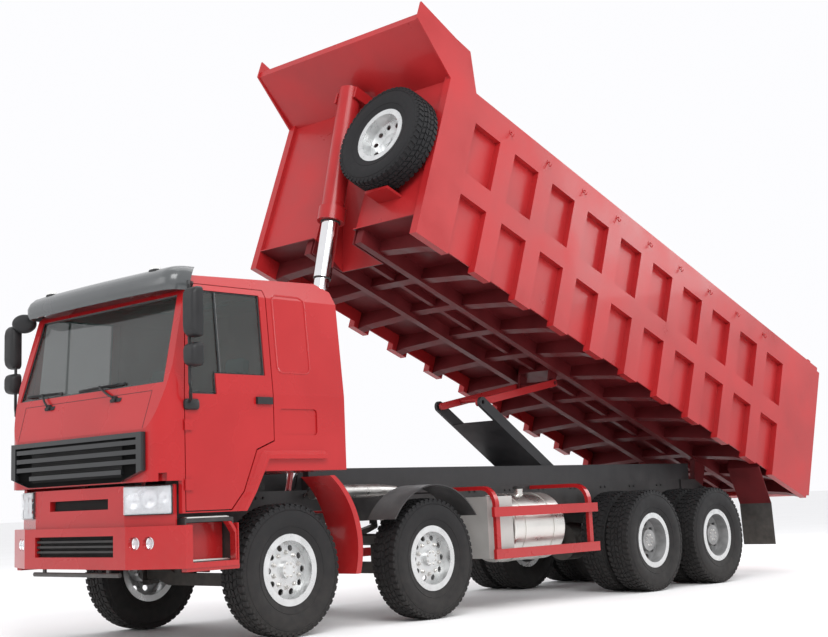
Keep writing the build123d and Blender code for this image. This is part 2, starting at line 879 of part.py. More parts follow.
def chassis_frame():
    """Two channel rails with their cross tubes, the hoist's cradle and the rear tow plate."""
    rail = prism_y(rail_profile(), rail_front_y, rail_rear_y)
    frame = rail + flipped(rail)
    mid_z = (rail_low_z + rail_high_z) / 2
    reach = rail_outer_x - rail_web / 2
    for offset in cross_offsets:
        frame += rod_x(axle_1_y + offset, mid_z - cross_drop, cross_tube_radius, -reach, reach)
    hanger_low = rail_low_z - front_spring_drop + spring_thickness / 2 + fit_gap
    for axle_y in (axle_1_y, axle_2_y):
        for end in (-1, 1):
            hanger = block(
                (rail_outer_x - rail_flange, rail_outer_x),
                (axle_y + end * (front_spring_half - hanger_length), axle_y + end * front_spring_half),
                (hanger_low, rail_low_z + rail_web),
            )
            frame += hanger + flipped(hanger)
    seat_low = tyre_radius + drive_tube_radius + rear_spring_sag + rear_spring_thickness + 2 * fit_gap
    seat = block((rail_outer_x, rear_spring_x + spring_width / 2),
                 (bogie_y - bogie_seat_half, bogie_y + bogie_seat_half),
                 (seat_low, seat_low + bogie_seat_height))
    frame += seat + flipped(seat)
    cradle = block((-reach, reach), (hoist_base_y - cradle_half, hoist_base_y + cradle_half),
                   (rail_low_z + rail_web, rail_low_z + rail_web + cradle_height))
    frame += cradle
    cheek_low = rail_low_z + rail_web + cradle_height / 2
    cheek_x = hoist_eye_half_width + hoist_side_gap
    for side in (-1, 1):
        cheek = block((side * (cheek_x + cheek_root), side * (cheek_x + cheek_root + hoist_cheek)),
                      (hoist_base_y - cheek_half, hoist_base_y + cheek_half),
                      (cheek_low, hoist_base_z + cheek_half))
        stub = rod_x(hoist_base_y, hoist_base_z, hoist_pin_radius, side * cheek_x,
                     side * (cheek_x + cheek_root + hoist_cheek / 2))
        frame += cheek + stub
    plate = block((-rail_outer_x - running_gap, rail_outer_x + running_gap),
                  (rail_rear_y - tow_plate_thickness, rail_rear_y),
                  (rail_low_z, rail_high_z - tow_plate_thickness))
    frame += plate
    for low_x in (pivot_lug_low_x - pivot_cheek - running_gap, pivot_lug_high_x + running_gap):
        cheek = prism_x([
            (rail_rear_y - hinge_root, rail_high_z), (rail_rear_y, rail_high_z),
            (pivot_y + pivot_lug_radius, pivot_z + pivot_lug_radius / 2),
            (pivot_y + pivot_lug_radius, pivot_z - pivot_lug_radius / 2),
            (pivot_y, pivot_z - pivot_lug_radius), (rail_rear_y - hinge_root, pivot_z - pivot_lug_radius),
        ], low_x, low_x + pivot_cheek)
        frame += cheek + flipped(cheek)
    frame += rod_x(pivot_y, pivot_z, pivot_pin_radius, -pivot_reach, pivot_reach)
    bar_half = rear_lamp_x + rear_lamp_width / 2
    frame += block((-bar_half, bar_half), (rail_rear_y - tow_plate_thickness, rail_rear_y),
                   (rear_lamp_z + lamp_bar_inset, rear_lamp_z + rear_lamp_height - lamp_bar_inset))
    frame -= Pos(0, rail_rear_y, rail_low_z + tow_bore_height) * Rot(90, 0, 0) * Cylinder(
        tow_bore_radius, 4 * tow_plate_thickness)
    return frame


def subframe():
    """Box rails on the main frame, their cross beams and the rear hinge cheeks with the pivot shaft."""
    rail = block((rail_outer_x - rail_flange, rail_outer_x),
                 (subframe_front_y, rail_rear_y - subframe_rear_inset),
                 (subframe_low_z + fit_gap, subframe_high_z))
    frame = rail + flipped(rail)
    reach = rail_outer_x - rail_flange / 2
    for offset in subframe_cross_offsets:
        centre = axle_1_y + offset
        frame += block((-reach, reach),
                       (centre - subframe_cross_width / 2, centre + subframe_cross_width / 2),
                       (subframe_low_z + fit_gap, subframe_low_z + subframe_cross_height))
    return frame


def bumper():
    """Swept bumper shell with its grille opening, and the lamp panel above it."""
    outer = [
        (-bumper_centre_half, bumper_front_y), (bumper_centre_half, bumper_front_y),
        (bumper_half_width, bumper_corner_y), (bumper_half_width, bumper_end_y),
        (bumper_half_width - bumper_shell, bumper_end_y),
        (bumper_half_width - bumper_shell, bumper_corner_y + bumper_shell / 2),
        (bumper_centre_half - bumper_shell / 4, bumper_front_y + bumper_shell),
        (-bumper_centre_half + bumper_shell / 4, bumper_front_y + bumper_shell),
        (-bumper_half_width + bumper_shell, bumper_corner_y + bumper_shell / 2),
        (-bumper_half_width + bumper_shell, bumper_end_y), (-bumper_half_width, bumper_end_y),
        (-bumper_half_width, bumper_corner_y),
    ]
    shell = prism_z(outer, bumper_low_z, bumper_high_z)
    opening = block((-bumper_grille_half, bumper_grille_half),
                    (bumper_front_y - overrun, bumper_front_y + bumper_shell + overrun),
                    (bumper_grille_low_z, bumper_grille_high_z))
    shell -= opening
    step_cut = block((-bumper_half_width - overrun, bumper_half_width + overrun),
                     (step_front_y + step_cut_inset, bumper_end_y - step_cut_inset),
                     (bumper_low_z + step_tread + step_cut_inset, bumper_high_z + overrun))
    shell -= step_cut
    for x in fog_lamp_places:
        hole = rod_between((x, bumper_front_y - overrun, fog_lamp_z), (x, bumper_end_y, fog_lamp_z),
                           fog_lamp_radius)
        shell -= hole + flipped(hole)
    bar_step = (bumper_grille_high_z - bumper_grille_low_z) / (bumper_bars + 1)
    for index in range(bumper_bars):
        level = bumper_grille_low_z + bar_step * (index + 1)
        shell += block((-bumper_grille_half - bumper_bar, bumper_grille_half + bumper_bar),
                       (bumper_front_y + bumper_bar, bumper_front_y + 2 * bumper_bar),
                       (level - bumper_bar / 2, level + bumper_bar / 2))
    panel = prism_z([
        (-headlamp_inner_x + panel_tuck, panel_front_y), (headlamp_inner_x - panel_tuck, panel_front_y),
        (panel_half_width, panel_side_y), (panel_half_width, panel_side_y + panel_return),
        (panel_half_width - bumper_shell, panel_side_y + panel_return),
        (headlamp_inner_x - panel_tuck, panel_front_y + bumper_shell),
        (-headlamp_inner_x + panel_tuck, panel_front_y + bumper_shell),
        (-panel_half_width + bumper_shell, panel_side_y + panel_return),
        (-panel_half_width, panel_side_y + panel_return), (-panel_half_width, panel_side_y),
    ], bumper_high_z - bumper_bar, panel_high_z)
    panel -= block((-slot_half_width, slot_half_width),
                   (panel_front_y - overrun, panel_front_y + bumper_shell + overrun),
                   (slot_low_z, slot_high_z))
    for side in (-1, 1):
        panel -= block((side * (headlamp_inner_x - fit_gap), side * (headlamp_outer_x + fit_gap)),
                       (panel_front_y - overrun, panel_side_y + overrun),
                       (headlamp_low_z - fit_gap, headlamp_high_z + fit_gap))
    bracket = block((rail_outer_x + fit_gap, rail_outer_x + bumper_bracket),
                    (bumper_front_y + bumper_shell - bumper_bar, rail_front_y + 2 * bumper_bracket),
                    (bumper_high_z - bumper_bracket, bumper_high_z))
    whole = shell + panel + bracket + flipped(bracket)
    bar = rod_x(bumper_front_y + bumper_shell / 2, guard_bar_z, guard_bar_radius, -guard_bar_half,
                guard_bar_half)
    for side in (-1, 1):
        hanger = block(
            (side * guard_bar_half * hanger_share - bumper_bar,
             side * guard_bar_half * hanger_share + bumper_bar),
            (bumper_front_y + bumper_shell / 2 - bumper_bar / 2,
             bumper_front_y + bumper_shell / 2 + bumper_bar / 2),
            (guard_bar_z, bumper_low_z + bumper_bar),
        )
        bar += hanger
    return whole + bar


def fog_lamps():
    """Two round lamps set back in the left half of the bumper's face."""
    slope = (bumper_corner_y - bumper_front_y) / (bumper_half_width - bumper_centre_half)
    lamps = []
    for x in fog_lamp_places:
        front_y = bumper_front_y + slope * (x - bumper_centre_half) + fog_lamp_recess
        lamps.append(rod_between((x, front_y, fog_lamp_z), (x, front_y + fog_lamp_depth, fog_lamp_z),
                                 fog_lamp_radius - fit_gap))
    return lamps


def lamp_blocks():
    """The two headlamp bodies that fill the lamp panel's corners."""
    lamp = prism_z(
        [(headlamp_inner_x, panel_front_y + lamp_sweep_near - lamp_proud),
         (headlamp_outer_x, panel_side_y - lamp_proud), (headlamp_outer_x, panel_side_y + headlamp_depth),
         (headlamp_inner_x, panel_side_y + headlamp_depth / 2)], headlamp_low_z, headlamp_high_z,
    )
    return lamp + flipped(lamp)


def cab_solid(inset):
    """The cab's outer form shrunk on all sides by inset."""
    side = [(cab_front_y + inset, cab_front_low_z), (cab_front_y + inset, cab_grille_top_z),
            (cab_glass_low_y + inset, cab_glass_low_z), (cab_glass_high_y + inset, cab_glass_high_z),
            (cab_roof_front_y + inset, cab_roof_front_z - inset),
            (cab_rear_y - inset - cab_roof_radius, cab_roof_rear_z - inset),
            (cab_rear_y - inset, cab_roof_rear_z - inset - cab_roof_radius / 2),
            (cab_rear_y - inset, cab_skirt_z), (cab_panel_y + inset, cab_skirt_z),
            (cab_panel_y + inset, cab_front_low_z)]
    body = prism_x(side, -cab_half_width - overrun, cab_half_width + overrun)
    half = cab_half_width - inset
    roof_half = cab_roof_half_width - inset
    front = [(-half, cab_skirt_z - overrun), (half, cab_skirt_z - overrun), (half, cab_waist_z),
             (roof_half, cab_roof_front_z - cab_roof_radius),
             (roof_half - cab_roof_radius, cab_roof_rear_z + overrun),
             (-roof_half + cab_roof_radius, cab_roof_rear_z + overrun),
             (-roof_half, cab_roof_front_z - cab_roof_radius), (-half, cab_waist_z)]
    body &= prism_y(front, cab_front_y - overrun, cab_rear_y + overrun)
    corner = cab_corner_radius - inset
    front_y = cab_front_y + inset
    back_y = cab_rear_y + 2 * cab_corner_radius
    plan = Pos(0, (front_y + back_y) / 2,
               cab_tilt_z - overrun - tilt_ear_reach) * RectangleRounded(
                   2 * half, back_y - front_y, corner,
               )
    return body & extrude(plan, amount=cab_roof_rear_z, dir=(0, 0, 1))


def door_outline(gap):
    """Door edge in Y and Z, shrunk by gap."""
    return [(door_front_y + gap, door_low_z + gap), (door_front_y + gap, cab_waist_z),
            (door_top_front_y + gap, door_high_z - gap), (door_rear_y - gap, door_high_z - gap),
            (door_rear_y - gap, arch_top_z + door_arch_rise + gap),
            (arch_shoulder_y - door_arch_side - gap, arch_top_z + door_arch_rise / 2 + gap),
            (arch_knee_y - door_arch_side - gap, arch_knee_z + gap),
            (arch_front_y - door_arch_side - gap, door_low_z + gap)]


def door_window(grow):
    """Window edge in Y and Z, grown by grow."""
    return [(door_window_front_y - grow, door_window_front_low_z - grow),
            (door_window_top_front_y - grow, door_window_high_z + grow),
            (door_window_rear_y + grow, door_window_high_z + grow),
            (door_window_rear_y + grow, door_window_low_z - grow),
            (door_window_step_y + grow, door_window_low_z - grow),
            (door_window_step_y + grow, door_window_front_low_z - grow)]


def arch_outline(grow, rear_y):
    """Wheel arch edge in Y and Z grown by grow, open below and running back to rear_y."""
    return [
        (arch_front_y - grow, cab_skirt_z - overrun), (arch_knee_y - grow, arch_knee_z),
        (arch_shoulder_y - grow / 2, arch_top_z + grow), (rear_y, arch_top_z + grow),
        (rear_y, cab_skirt_z - overrun),
    ]


def arch_flare():
    """Lip round the left wheel arch, lofted from the cab's side to a narrower outer edge."""
    rear_y = half_guard_front_y - running_gap
    edges = (
        # offset along X, growth beyond the arch
        (cab_half_width - flare_sink, flare_width),
        (cab_half_width + flare_proud, flare_lip),
    )
    sections = []
    for x, grow in edges:
        sections.append(
            make_face(Polyline(*[(x, y, z) for y, z in arch_outline(grow, rear_y)], close=True))
        )
    lip = loft(sections, ruled=True)
    lip -= prism_x(arch_outline(0.0, rear_y + overrun), 0, cab_half_width + flare_proud + overrun)
    reach = cab_half_width + flare_proud + overrun
    return lip & block((0, reach), (cab_front_y, cab_rear_y), (cab_skirt_z, cab_roof_rear_z))


def door_hinges():
    """Two hinge barrels on the left door's front edge, each on a strap."""
    hinges = None
    root_y = door_front_y + door_gap
    for level in door_hinge_levels:
        heights = (level - door_hinge_height / 2, level + door_hinge_height / 2)
        hinge = Pos(door_hinge_x, door_front_y, level) * Cylinder(door_hinge_radius, door_hinge_height)
        hinge += block((door_hinge_x - door_hinge_radius, door_hinge_x + door_hinge_radius),
                       (door_front_y, root_y + door_strap), heights)
        hinge += block((cab_half_width - door_strap_sink, door_hinge_x), (root_y, root_y + door_strap),
                       heights)
        hinges = hinge if hinges is None else hinges + hinge
    return hinges


def cab_and_doors():
    """The hollow cab shell, its two doors and their panes."""
    outer = cab_solid(0.0)
    inner = cab_solid(cab_wall)
    inner &= block((-cab_half_width, cab_half_width), (cab_front_y, cab_rear_y),
                   (cab_floor_z + cab_floor_thickness, cab_roof_rear_z))
    lower = block((-cab_half_width + cab_wall, cab_half_width - cab_wall),
                  (cab_front_y + cab_wall, cab_rear_y + overrun), (cab_skirt_z - overrun, cab_floor_z))
    hollow = outer - inner - lower
    arch = prism_x(arch_outline(0.0, cab_rear_y + overrun), -cab_half_width - overrun,
                   cab_half_width + overrun)
    hollow -= arch - block((-cab_half_width, cab_half_width), (cab_front_y, cab_rear_y + 2 * overrun),
                           (cab_floor_z, cab_roof_rear_z))
    hollow -= prism_y(screen_outline(0.0), cab_front_y - overrun, cab_glass_high_y + cab_corner_radius)
    side_cut = prism_x(door_outline(0.0), door_cut_inner_x, cab_half_width + overrun)
    leaf_cut = prism_x(door_outline(door_gap), door_cut_inner_x, cab_half_width + overrun)
    window = prism_x(door_window(0.0), door_cut_inner_x, cab_half_width + overrun)
    skin = outer - inner - lower
    leaf = (skin & leaf_cut) - window
    leaf -= block((0, cab_half_width - cab_wall), (cab_front_y, cab_rear_y),
                  (0, cab_floor_z + cab_floor_thickness))
    hollow -= side_cut + flipped(side_cut)
    for side in (-1, 1):
        for low_z, high_z in recess_levels:
            recess = block((side * (cab_half_width - recess_depth), side * (cab_half_width + overrun)),
                           (recess_front_y, recess_rear_y), (low_z, high_z))
            edges = recess.edges().filter_by(Axis.X)
            hollow -= fillet(edges, recess_corner)
    handle = block((cab_half_width - handle_sink, cab_half_width + handle_depth),
                   (handle_y - handle_length / 2, handle_y + handle_length / 2),
                   (handle_z - handle_height / 2, handle_z + handle_height / 2))
    leaf += handle + door_hinges()
    pane = (prism_x(door_window(-fit_gap), door_cut_inner_x, cab_half_width + overrun)
            & (cab_solid(cab_wall / 2) - cab_solid(cab_wall / 2 + door_glass_thickness)))
    pane = max(pane.solids(), key=lambda solid: solid.volume)
    ears = None
    for side in (-1, 1):
        ear_x = (side * tilt_ear_x - tilt_ear / 2, side * tilt_ear_x + tilt_ear / 2)
        ear = prism_x([
            (cab_tilt_y, cab_tilt_z - tilt_ear_half),
            (cab_tilt_y + tilt_ear_reach, cab_tilt_z - tilt_ear_half),
            (cab_tilt_y + tilt_ear_reach, cab_floor_z + cab_floor_thickness / 2),
            (cab_tilt_y + tilt_ear_reach - 2 * tilt_ear_half, cab_floor_z + cab_floor_thickness / 2),
            (cab_tilt_y + tilt_ear_reach - 2 * tilt_ear_half, cab_tilt_z + tilt_ear_half),
            (cab_tilt_y, cab_tilt_z + tilt_ear_half),
        ], *ear_x)
        ear += rod_x(cab_tilt_y, cab_tilt_z, tilt_ear_half, *ear_x)
        ears = ear if ears is None else ears + ear
    flare = arch_flare()
    hollow += ears + flare + flipped(flare)
    hollow -= rod_x(cab_tilt_y, cab_tilt_z, tilt_pin_radius + pin_gap, -cab_half_width / 2,
                    cab_half_width / 2)
    return hollow, leaf, pane


def screen_outline(gap):
    """Windscreen edge in X and Z, shrunk by gap."""
    return [
        (-screen_half_low + gap, screen_low_z + gap), (screen_half_low - gap, screen_low_z + gap),
        (screen_half_high - gap, screen_high_z - gap), (-screen_half_high + gap, screen_high_z - gap),
    ]


def windscreen():
    """Windscreen that follows the cab's face and wraps round its corners."""
    band = cab_solid(cab_wall / 2) - cab_solid(cab_wall / 2 + screen_thickness)
    pane = band & prism_y(screen_outline(fit_gap), cab_front_y, cab_glass_high_y + cab_corner_radius)
    return max(pane.solids(), key=lambda solid: solid.volume)


def grille_panel():
    """Upper grille on the cab's nose: a rim round an open field of slats."""
    edge = [(-grille_half_width, grille_top_z), (grille_half_width, grille_top_z),
            (grille_half_width, grille_side_z), (grille_low_half_width, grille_low_z),
            (-grille_low_half_width, grille_low_z), (-grille_half_width, grille_side_z)]
    back = cab_front_y - fit_gap
    plate = prism_y(edge, back - grille_depth, back)
    inner = [
        (x * grille_open_share,
         grille_top_z - grille_frame - (grille_top_z - z) * grille_open_share) for x, z in edge
    ]
    plate -= prism_y(inner, back - grille_depth - overrun, back - grille_back)
    pitch = (grille_top_z - grille_low_z - 2 * grille_frame) / grille_slats
    for index in range(grille_slats):
        level = grille_low_z + grille_frame + pitch * index + pitch / 2
        half = grille_half_width - grille_frame if level > grille_side_z else grille_low_half_width
        plate += block((-half, half), (back - grille_depth + grille_slat_set, back - grille_back / 2),
                       (level - grille_slat_height / 2, level + grille_slat_height / 2))
    return plate


def visor():
    """Bent sun visor plate that seats on the roof and reaches ahead of the windscreen's top."""
    sheet = prism_x(
        [(cab_roof_front_y + visor_seat, cab_roof_front_z + visor_lift + visor_thickness),
         (visor_mid_y, visor_top_z + visor_crown), (visor_front_y, visor_low_z),
         (visor_front_y + visor_thickness, visor_low_z),
         (visor_mid_y + visor_thickness / 2, visor_top_z + visor_crown - visor_thickness),
         (cab_roof_front_y + visor_seat, cab_roof_front_z + visor_lift)], -visor_half_width,
        visor_half_width,
    )
    return sheet


def seats():
    """Two seats, each a cushion on a plinth with a backrest."""
    result = []
    for side in (-1, 1):
        x_pair = (side * seat_x - seat_half_width, side * seat_x + seat_half_width)
        cushion = block(x_pair, (seat_y - seat_depth / 2, seat_y + seat_depth / 2),
                        (seat_base_z, seat_base_z + seat_cushion))
        plinth = block(
            (side * seat_x - seat_half_width * plinth_share,
             side * seat_x + seat_half_width * plinth_share),
            (seat_y - seat_depth * plinth_share / 2, seat_y + seat_depth * plinth_share / 2),
            (cab_floor_z + cab_floor_thickness, seat_base_z),
        )
        back = prism_x(
            [(seat_y + seat_depth / 2 - seat_back_thickness, seat_base_z + seat_cushion),
             (seat_y + seat_depth / 2, seat_base_z),
             (seat_y + seat_depth / 2 + seat_rake, seat_base_z + seat_back_height),
             (seat_y + seat_depth / 2 + seat_rake - seat_back_thickness, seat_base_z + seat_back_height)],
            *x_pair,
        )
        result.append(cushion + plinth + back)
    return result


def dashboard():
    """Dashboard moulding across the cab with the steering column and its wheel."""
    front = cab_glass_low_y + cab_wall + dash_gap
    half = cab_half_width - cab_wall - dash_gap
    board = prism_x(
        [(front, dash_low_z), (front, dash_high_z - dash_gap), (dash_rear_y - dash_slope, dash_high_z),
         (dash_rear_y, dash_high_z - dash_slope), (dash_rear_y, dash_low_z + dash_slope),
         (dash_rear_y - dash_slope, dash_low_z)], -half + dash_side, half - dash_side,
    )
    leg = block((-dash_leg_half, dash_leg_half), (front, dash_rear_y - dash_slope),
                (cab_floor_z + cab_floor_thickness, dash_low_z))
    tilt = math.radians(wheel_tilt)
    centre = Vector(wheel_x, wheel_centre_y, wheel_centre_z)
    down = Vector(0, -math.sin(tilt), -math.cos(tilt))
    rim_plane = Plane(origin=centre, z_dir=(0, math.sin(tilt), math.cos(tilt)))
    ring = rim_plane * Torus(wheel_rim_radius, wheel_rim_thickness)
    spoke = rim_plane * Box(2 * wheel_rim_radius, spoke_width, wheel_rim_thickness)
    end = centre + down * column_length
    column = rod_between(tuple(centre), tuple(end), column_radius)
    return board + leg + column + ring + spoke


def bed_tub():
    """Floor, ribbed sides, headboard with the hoist's bay, and the canopy with its gussets."""
    side = bed_block((bed_wall_inner_x, bed_half_width), (bed_rear, bed_front), (post_bottom, bed_rail_top))
    pocket_x = (bed_wall_inner_x + bed_sheet, bed_half_width + overrun)
    rail_low = bed_rail_top - bed_rail_depth
    for index in range(pocket_count):
        rear = pocket_first_rear - pocket_pitch * index
        span = (rear, rear + pocket_length)
        side -= bed_block(pocket_x, span, (mid_rail_high, rail_low))
        side -= bed_block(pocket_x, span, (post_bottom - overrun, mid_rail_low))
        side -= bed_block((bed_wall_inner_x - overrun, bed_half_width + overrun), span,
                          (post_bottom - overrun, sheet_bottom))
    floor = bed_block((-bed_wall_inner_x, bed_wall_inner_x), (bed_rear, bed_front),
                      (bed_floor_low, bed_floor_high))
    board = bed_block(
        (-bed_wall_inner_x, bed_wall_inner_x),
        (bed_front - headboard_setback - headboard_thickness, bed_front - headboard_setback),
        (bed_floor_low, canopy_root_height + canopy_plate),
    )
    front = bed_front - headboard_setback
    bay_out = bed_prism(
        [(front, bay_top + bay_plate), (front, longitudinal_low),
         (front - bay_depth - bay_plate, longitudinal_low)], -bay_half_width - bay_plate,
        bay_half_width + bay_plate,
    )
    bay_in = bed_prism(
        [(front + overrun, bay_top), (front + overrun, longitudinal_low - overrun),
         (front - bay_depth, longitudinal_low - overrun), (front - bay_depth, longitudinal_low),
         (front, bay_top)], -bay_half_width, bay_half_width,
    )
    tub = side + flipped(side) + floor + board + bay_out - bay_in
    canopy = bed_prism(
        [(front - headboard_thickness, canopy_root_height), (front, canopy_root_height),
         (canopy_tip_ahead, canopy_tip_height), (canopy_tip_ahead, canopy_tip_height + canopy_lip),
         (canopy_tip_ahead - canopy_plate, canopy_tip_height + canopy_lip),
         (canopy_tip_ahead - canopy_plate, canopy_tip_height + canopy_plate),
         (front, canopy_root_height + canopy_plate),
         (front - headboard_thickness, canopy_root_height + canopy_plate)], -bed_half_width,
        bed_half_width,
    )
    gusset = bed_prism(
        [(gusset_foot_ahead, bed_rail_top - canopy_plate), (gusset_rear_ahead, gusset_rear_height),
         (gusset_knee_ahead, gusset_knee_height), (canopy_tip_ahead + canopy_plate, gusset_tip_height),
         (canopy_tip_ahead + canopy_plate, canopy_tip_height),
         (bed_front, canopy_root_height - canopy_plate),
         (bed_front - canopy_plate, bed_rail_top - 2 * canopy_plate)], bed_half_width - canopy_plate,
        bed_half_width,
    )
    tub += canopy + gusset + flipped(gusset)
    for side_sign in (-1, 1):
        cheek = bed_block(
            (side_sign * (barrel_radius + running_gap * 2),
             side_sign * (barrel_radius + running_gap * 2 + hoist_cheek)),
            (front, hoist_eye_ahead + cheek_half),
            (hoist_eye_height - cheek_half, hoist_eye_height + cheek_half),
        )
        tub += cheek
    tub -= rod_x(bed_y(hoist_eye_ahead), bed_z(hoist_eye_height), hoist_pin_radius + pin_gap,
                 -bed_half_width, bed_half_width)
    return raised(tub)


def bed_underframe():
    """Two box longitudinals, a central beam, cross members with tapered outriggers, and the pivot lugs."""
    beam = bed_block((longitudinal_outer_x - longitudinal_width, longitudinal_outer_x),
                     (underframe_rear, bed_front - headboard_setback), (longitudinal_low, bed_floor_low))
    frame = beam + flipped(beam)
    for index in range(-1, pocket_count + 1):
        centre = pocket_first_rear - pocket_pitch * index - (pocket_pitch - pocket_length) / 2
        span = (centre - cross_member_width / 2, centre + cross_member_width / 2)
        inner = bed_block(
            (-longitudinal_outer_x + longitudinal_width / 2,
             longitudinal_outer_x - longitudinal_width / 2), span, (cross_member_low, bed_floor_low),
        )
        if index < 0:
            inner -= bed_block(
                (-bay_half_width - bay_plate - overrun, bay_half_width + bay_plate + overrun), span,
                (cross_member_low - overrun, bed_floor_low + overrun),
            )
        frame += inner
        outline = [
            (longitudinal_outer_x - longitudinal_width / 2, bed_z(longitudinal_low + outrigger_rise)),
            (bed_wall_inner_x - outrigger_tuck, bed_z(post_bottom + outrigger_rise)),
            (bed_wall_inner_x - fit_gap, bed_z(post_bottom)),
            (bed_wall_inner_x - fit_gap, bed_z(bed_floor_low)),
            (longitudinal_outer_x - longitudinal_width / 2, bed_z(bed_floor_low)),
        ]
        rigger = prism_y(outline, bed_y(span[1]), bed_y(span[0]))
        frame += rigger + flipped(rigger)
    rear_of_bay = bed_front - headboard_setback - bay_depth - bay_plate - running_gap
    frame += bed_block((-central_beam_width / 2, central_beam_width / 2), (underframe_rear, rear_of_bay),
                       (central_beam_low, bed_floor_low))
    lug = bed_prism([
        (-pivot_lug_radius, longitudinal_low + fit_gap), (pivot_lug_radius * 2, longitudinal_low + fit_gap),
        (pivot_lug_radius, 0), (pivot_lug_radius / 2, -pivot_lug_radius * lug_foot_share),
        (-pivot_lug_radius / 2, -pivot_lug_radius * lug_foot_share),
        (-pivot_lug_radius, 0),
    ], pivot_lug_low_x, pivot_lug_high_x)
    frame += lug + flipped(lug)
    for side in (-1, 1):
        link_lug = bed_prism(
            [(link_bed_ahead - link_lug_half, bed_floor_low),
             (link_bed_ahead + link_lug_half, bed_floor_low),
             (link_bed_ahead + link_lug_half / 2, link_bed_height - link_lug_half / 2),
             (link_bed_ahead - link_lug_half / 2, link_bed_height - link_lug_half / 2)],
            side * link_lug_x - link_lug_width / 2, side * link_lug_x + link_lug_width / 2,
        )
        frame += link_lug
    frame += bed_block((-link_lug_x, link_lug_x),
                       (link_bed_ahead - link_lug_half, link_bed_ahead + link_lug_half),
                       (cross_member_low, bed_floor_low))
    frame += rod_x(bed_y(link_bed_ahead), bed_z(link_bed_height), link_pin_radius,
                   -upper_arm_outer_x - pin_end / 2, upper_arm_outer_x + pin_end / 2)
    frame -= rod_x(pivot_y, pivot_z, pivot_pin_radius + pin_gap, -bed_half_width, bed_half_width)
    return raised(frame)


def tailgate():
    """Ribbed gate behind the bed with two arms up to its top hinge."""
    face = bed_rear - gate_gap
    width = bed_half_width - gate_side_inset
    gate = bed_block((-width, width), (face - gate_thickness, face),
                     (gate_low, bed_rail_top - gate_top_drop))
    pitch = 2 * width / gate_rib_count
    for index in range(gate_rib_count):
        centre = -width + pitch * index + pitch / 2
        half = (pitch - gate_rib_width) / 2
        for low, high in ((gate_low + gate_rib_width, gate_mid_low),
                          (gate_mid_low + gate_rib_width, bed_rail_top - gate_top_drop - gate_rib_width)):
            gate -= bed_block((centre - half, centre + half),
                              (face - gate_thickness - overrun, face - gate_sheet), (low, high))
    for side in (-1, 1):
        arm = bed_prism(
            [(face - gate_thickness, gate_arm_low),
             (face - gate_thickness, gate_hinge_height + gate_arm_height / 2),
             (gate_hinge_ahead + gate_arm_height / 2, gate_hinge_height + gate_arm_height / 2),
             (gate_hinge_ahead + gate_arm_height / 2, gate_hinge_height - gate_arm_height / 2),
             (face - gate_gap / 2 - gate_sheet, gate_hinge_height - gate_arm_height / 2),
             (face - gate_gap / 2 - gate_sheet, gate_arm_low)],
            side * gate_arm_x - gate_arm_thickness / 2, side * gate_arm_x + gate_arm_thickness / 2,
        )
        gate += arm
    gate -= rod_x(bed_y(gate_hinge_ahead), bed_z(gate_hinge_height), gate_pin_radius + pin_gap,
                  -bed_half_width, bed_half_width)
    return raised(gate)


def gate_hinges():
    """Hinge ears and pins on the bed's rear top corners."""
    ears = None
    ear_reach = gate_arm_thickness / 2 + gate_ear_gap + gate_ear_thickness
    pin_reach = ear_reach - gate_pin_inset
    for side in (-1, 1):
        for edge in (-1, 1):
            centre = side * gate_arm_x + edge * (ear_reach - gate_ear_thickness / 2)
            ear = bed_prism(
                [(gate_hinge_ahead - gate_arm_height / 2, gate_hinge_height + gate_arm_height / 2),
                 (gate_hinge_ahead + gate_arm_height / 2, gate_hinge_height + gate_arm_height / 2),
                 (gate_hinge_ahead + gate_arm_height, gate_ear_root),
                 (gate_hinge_ahead - gate_arm_height / 2, gate_ear_root)],
                centre - gate_ear_thickness / 2, centre + gate_ear_thickness / 2,
            )
            ears = ear if ears is None else ears + ear
        pin = rod_x(bed_y(gate_hinge_ahead), bed_z(gate_hinge_height), gate_pin_radius,
                    side * gate_arm_x - pin_reach, side * gate_arm_x + pin_reach)
        ears += pin
        ears += bed_block((side * (gate_arm_x - 2 * gate_arm_thickness), side * bed_half_width),
                          (gate_hinge_ahead - gate_arm_height / 2, gate_hinge_ahead + gate_arm_height),
                          (gate_ear_root - gate_arm_height / 2, gate_ear_root))
    return raised(ears)


def hoist_axis():
    """Unit vector from the bed's eye to the base pin at rest, in Y and Z, with their distance."""
    eye_y, eye_z = raised_point(hoist_eye_ahead, hoist_eye_height)
    dy = hoist_base_y - eye_y
    dz = hoist_base_z - eye_z
    length = math.hypot(dy, dz)
    return eye_y, eye_z, dy / length, dz / length, length


def along_hoist(start, end, radius, bore=0.0):
    """A round piece on the hoist's axis between two distances from the upper eye."""
    eye_y, eye_z, dir_y, dir_z, _ = hoist_axis()
    a = (0, eye_y + dir_y * start, eye_z + dir_z * start)
    b = (0, eye_y + dir_y * end, eye_z + dir_z * end)
    piece = rod_between(a, b, radius)
    if bore > 0:
        piece -= rod_between(a, b, bore)
    return piece


def hoist_barrel():
    """Hoist cover with its upper eye pin and lower collar."""
    eye_y, eye_z, _, _, _ = hoist_axis()
    bore = stage_first_radius + stage_slack
    tube = along_hoist(-barrel_top, barrel_length, barrel_radius)
    tube += along_hoist(barrel_length - collar_length, barrel_length, collar_radius)
    tube -= along_hoist(barrel_crown, barrel_length + overrun, bore)
    reach = barrel_radius + 2 * running_gap + hoist_cheek - fit_gap
    trunnion = rod_x(eye_y, eye_z, hoist_pin_radius, -reach, reach)
    return tube + (trunnion - along_hoist(barrel_crown, barrel_length, bore))


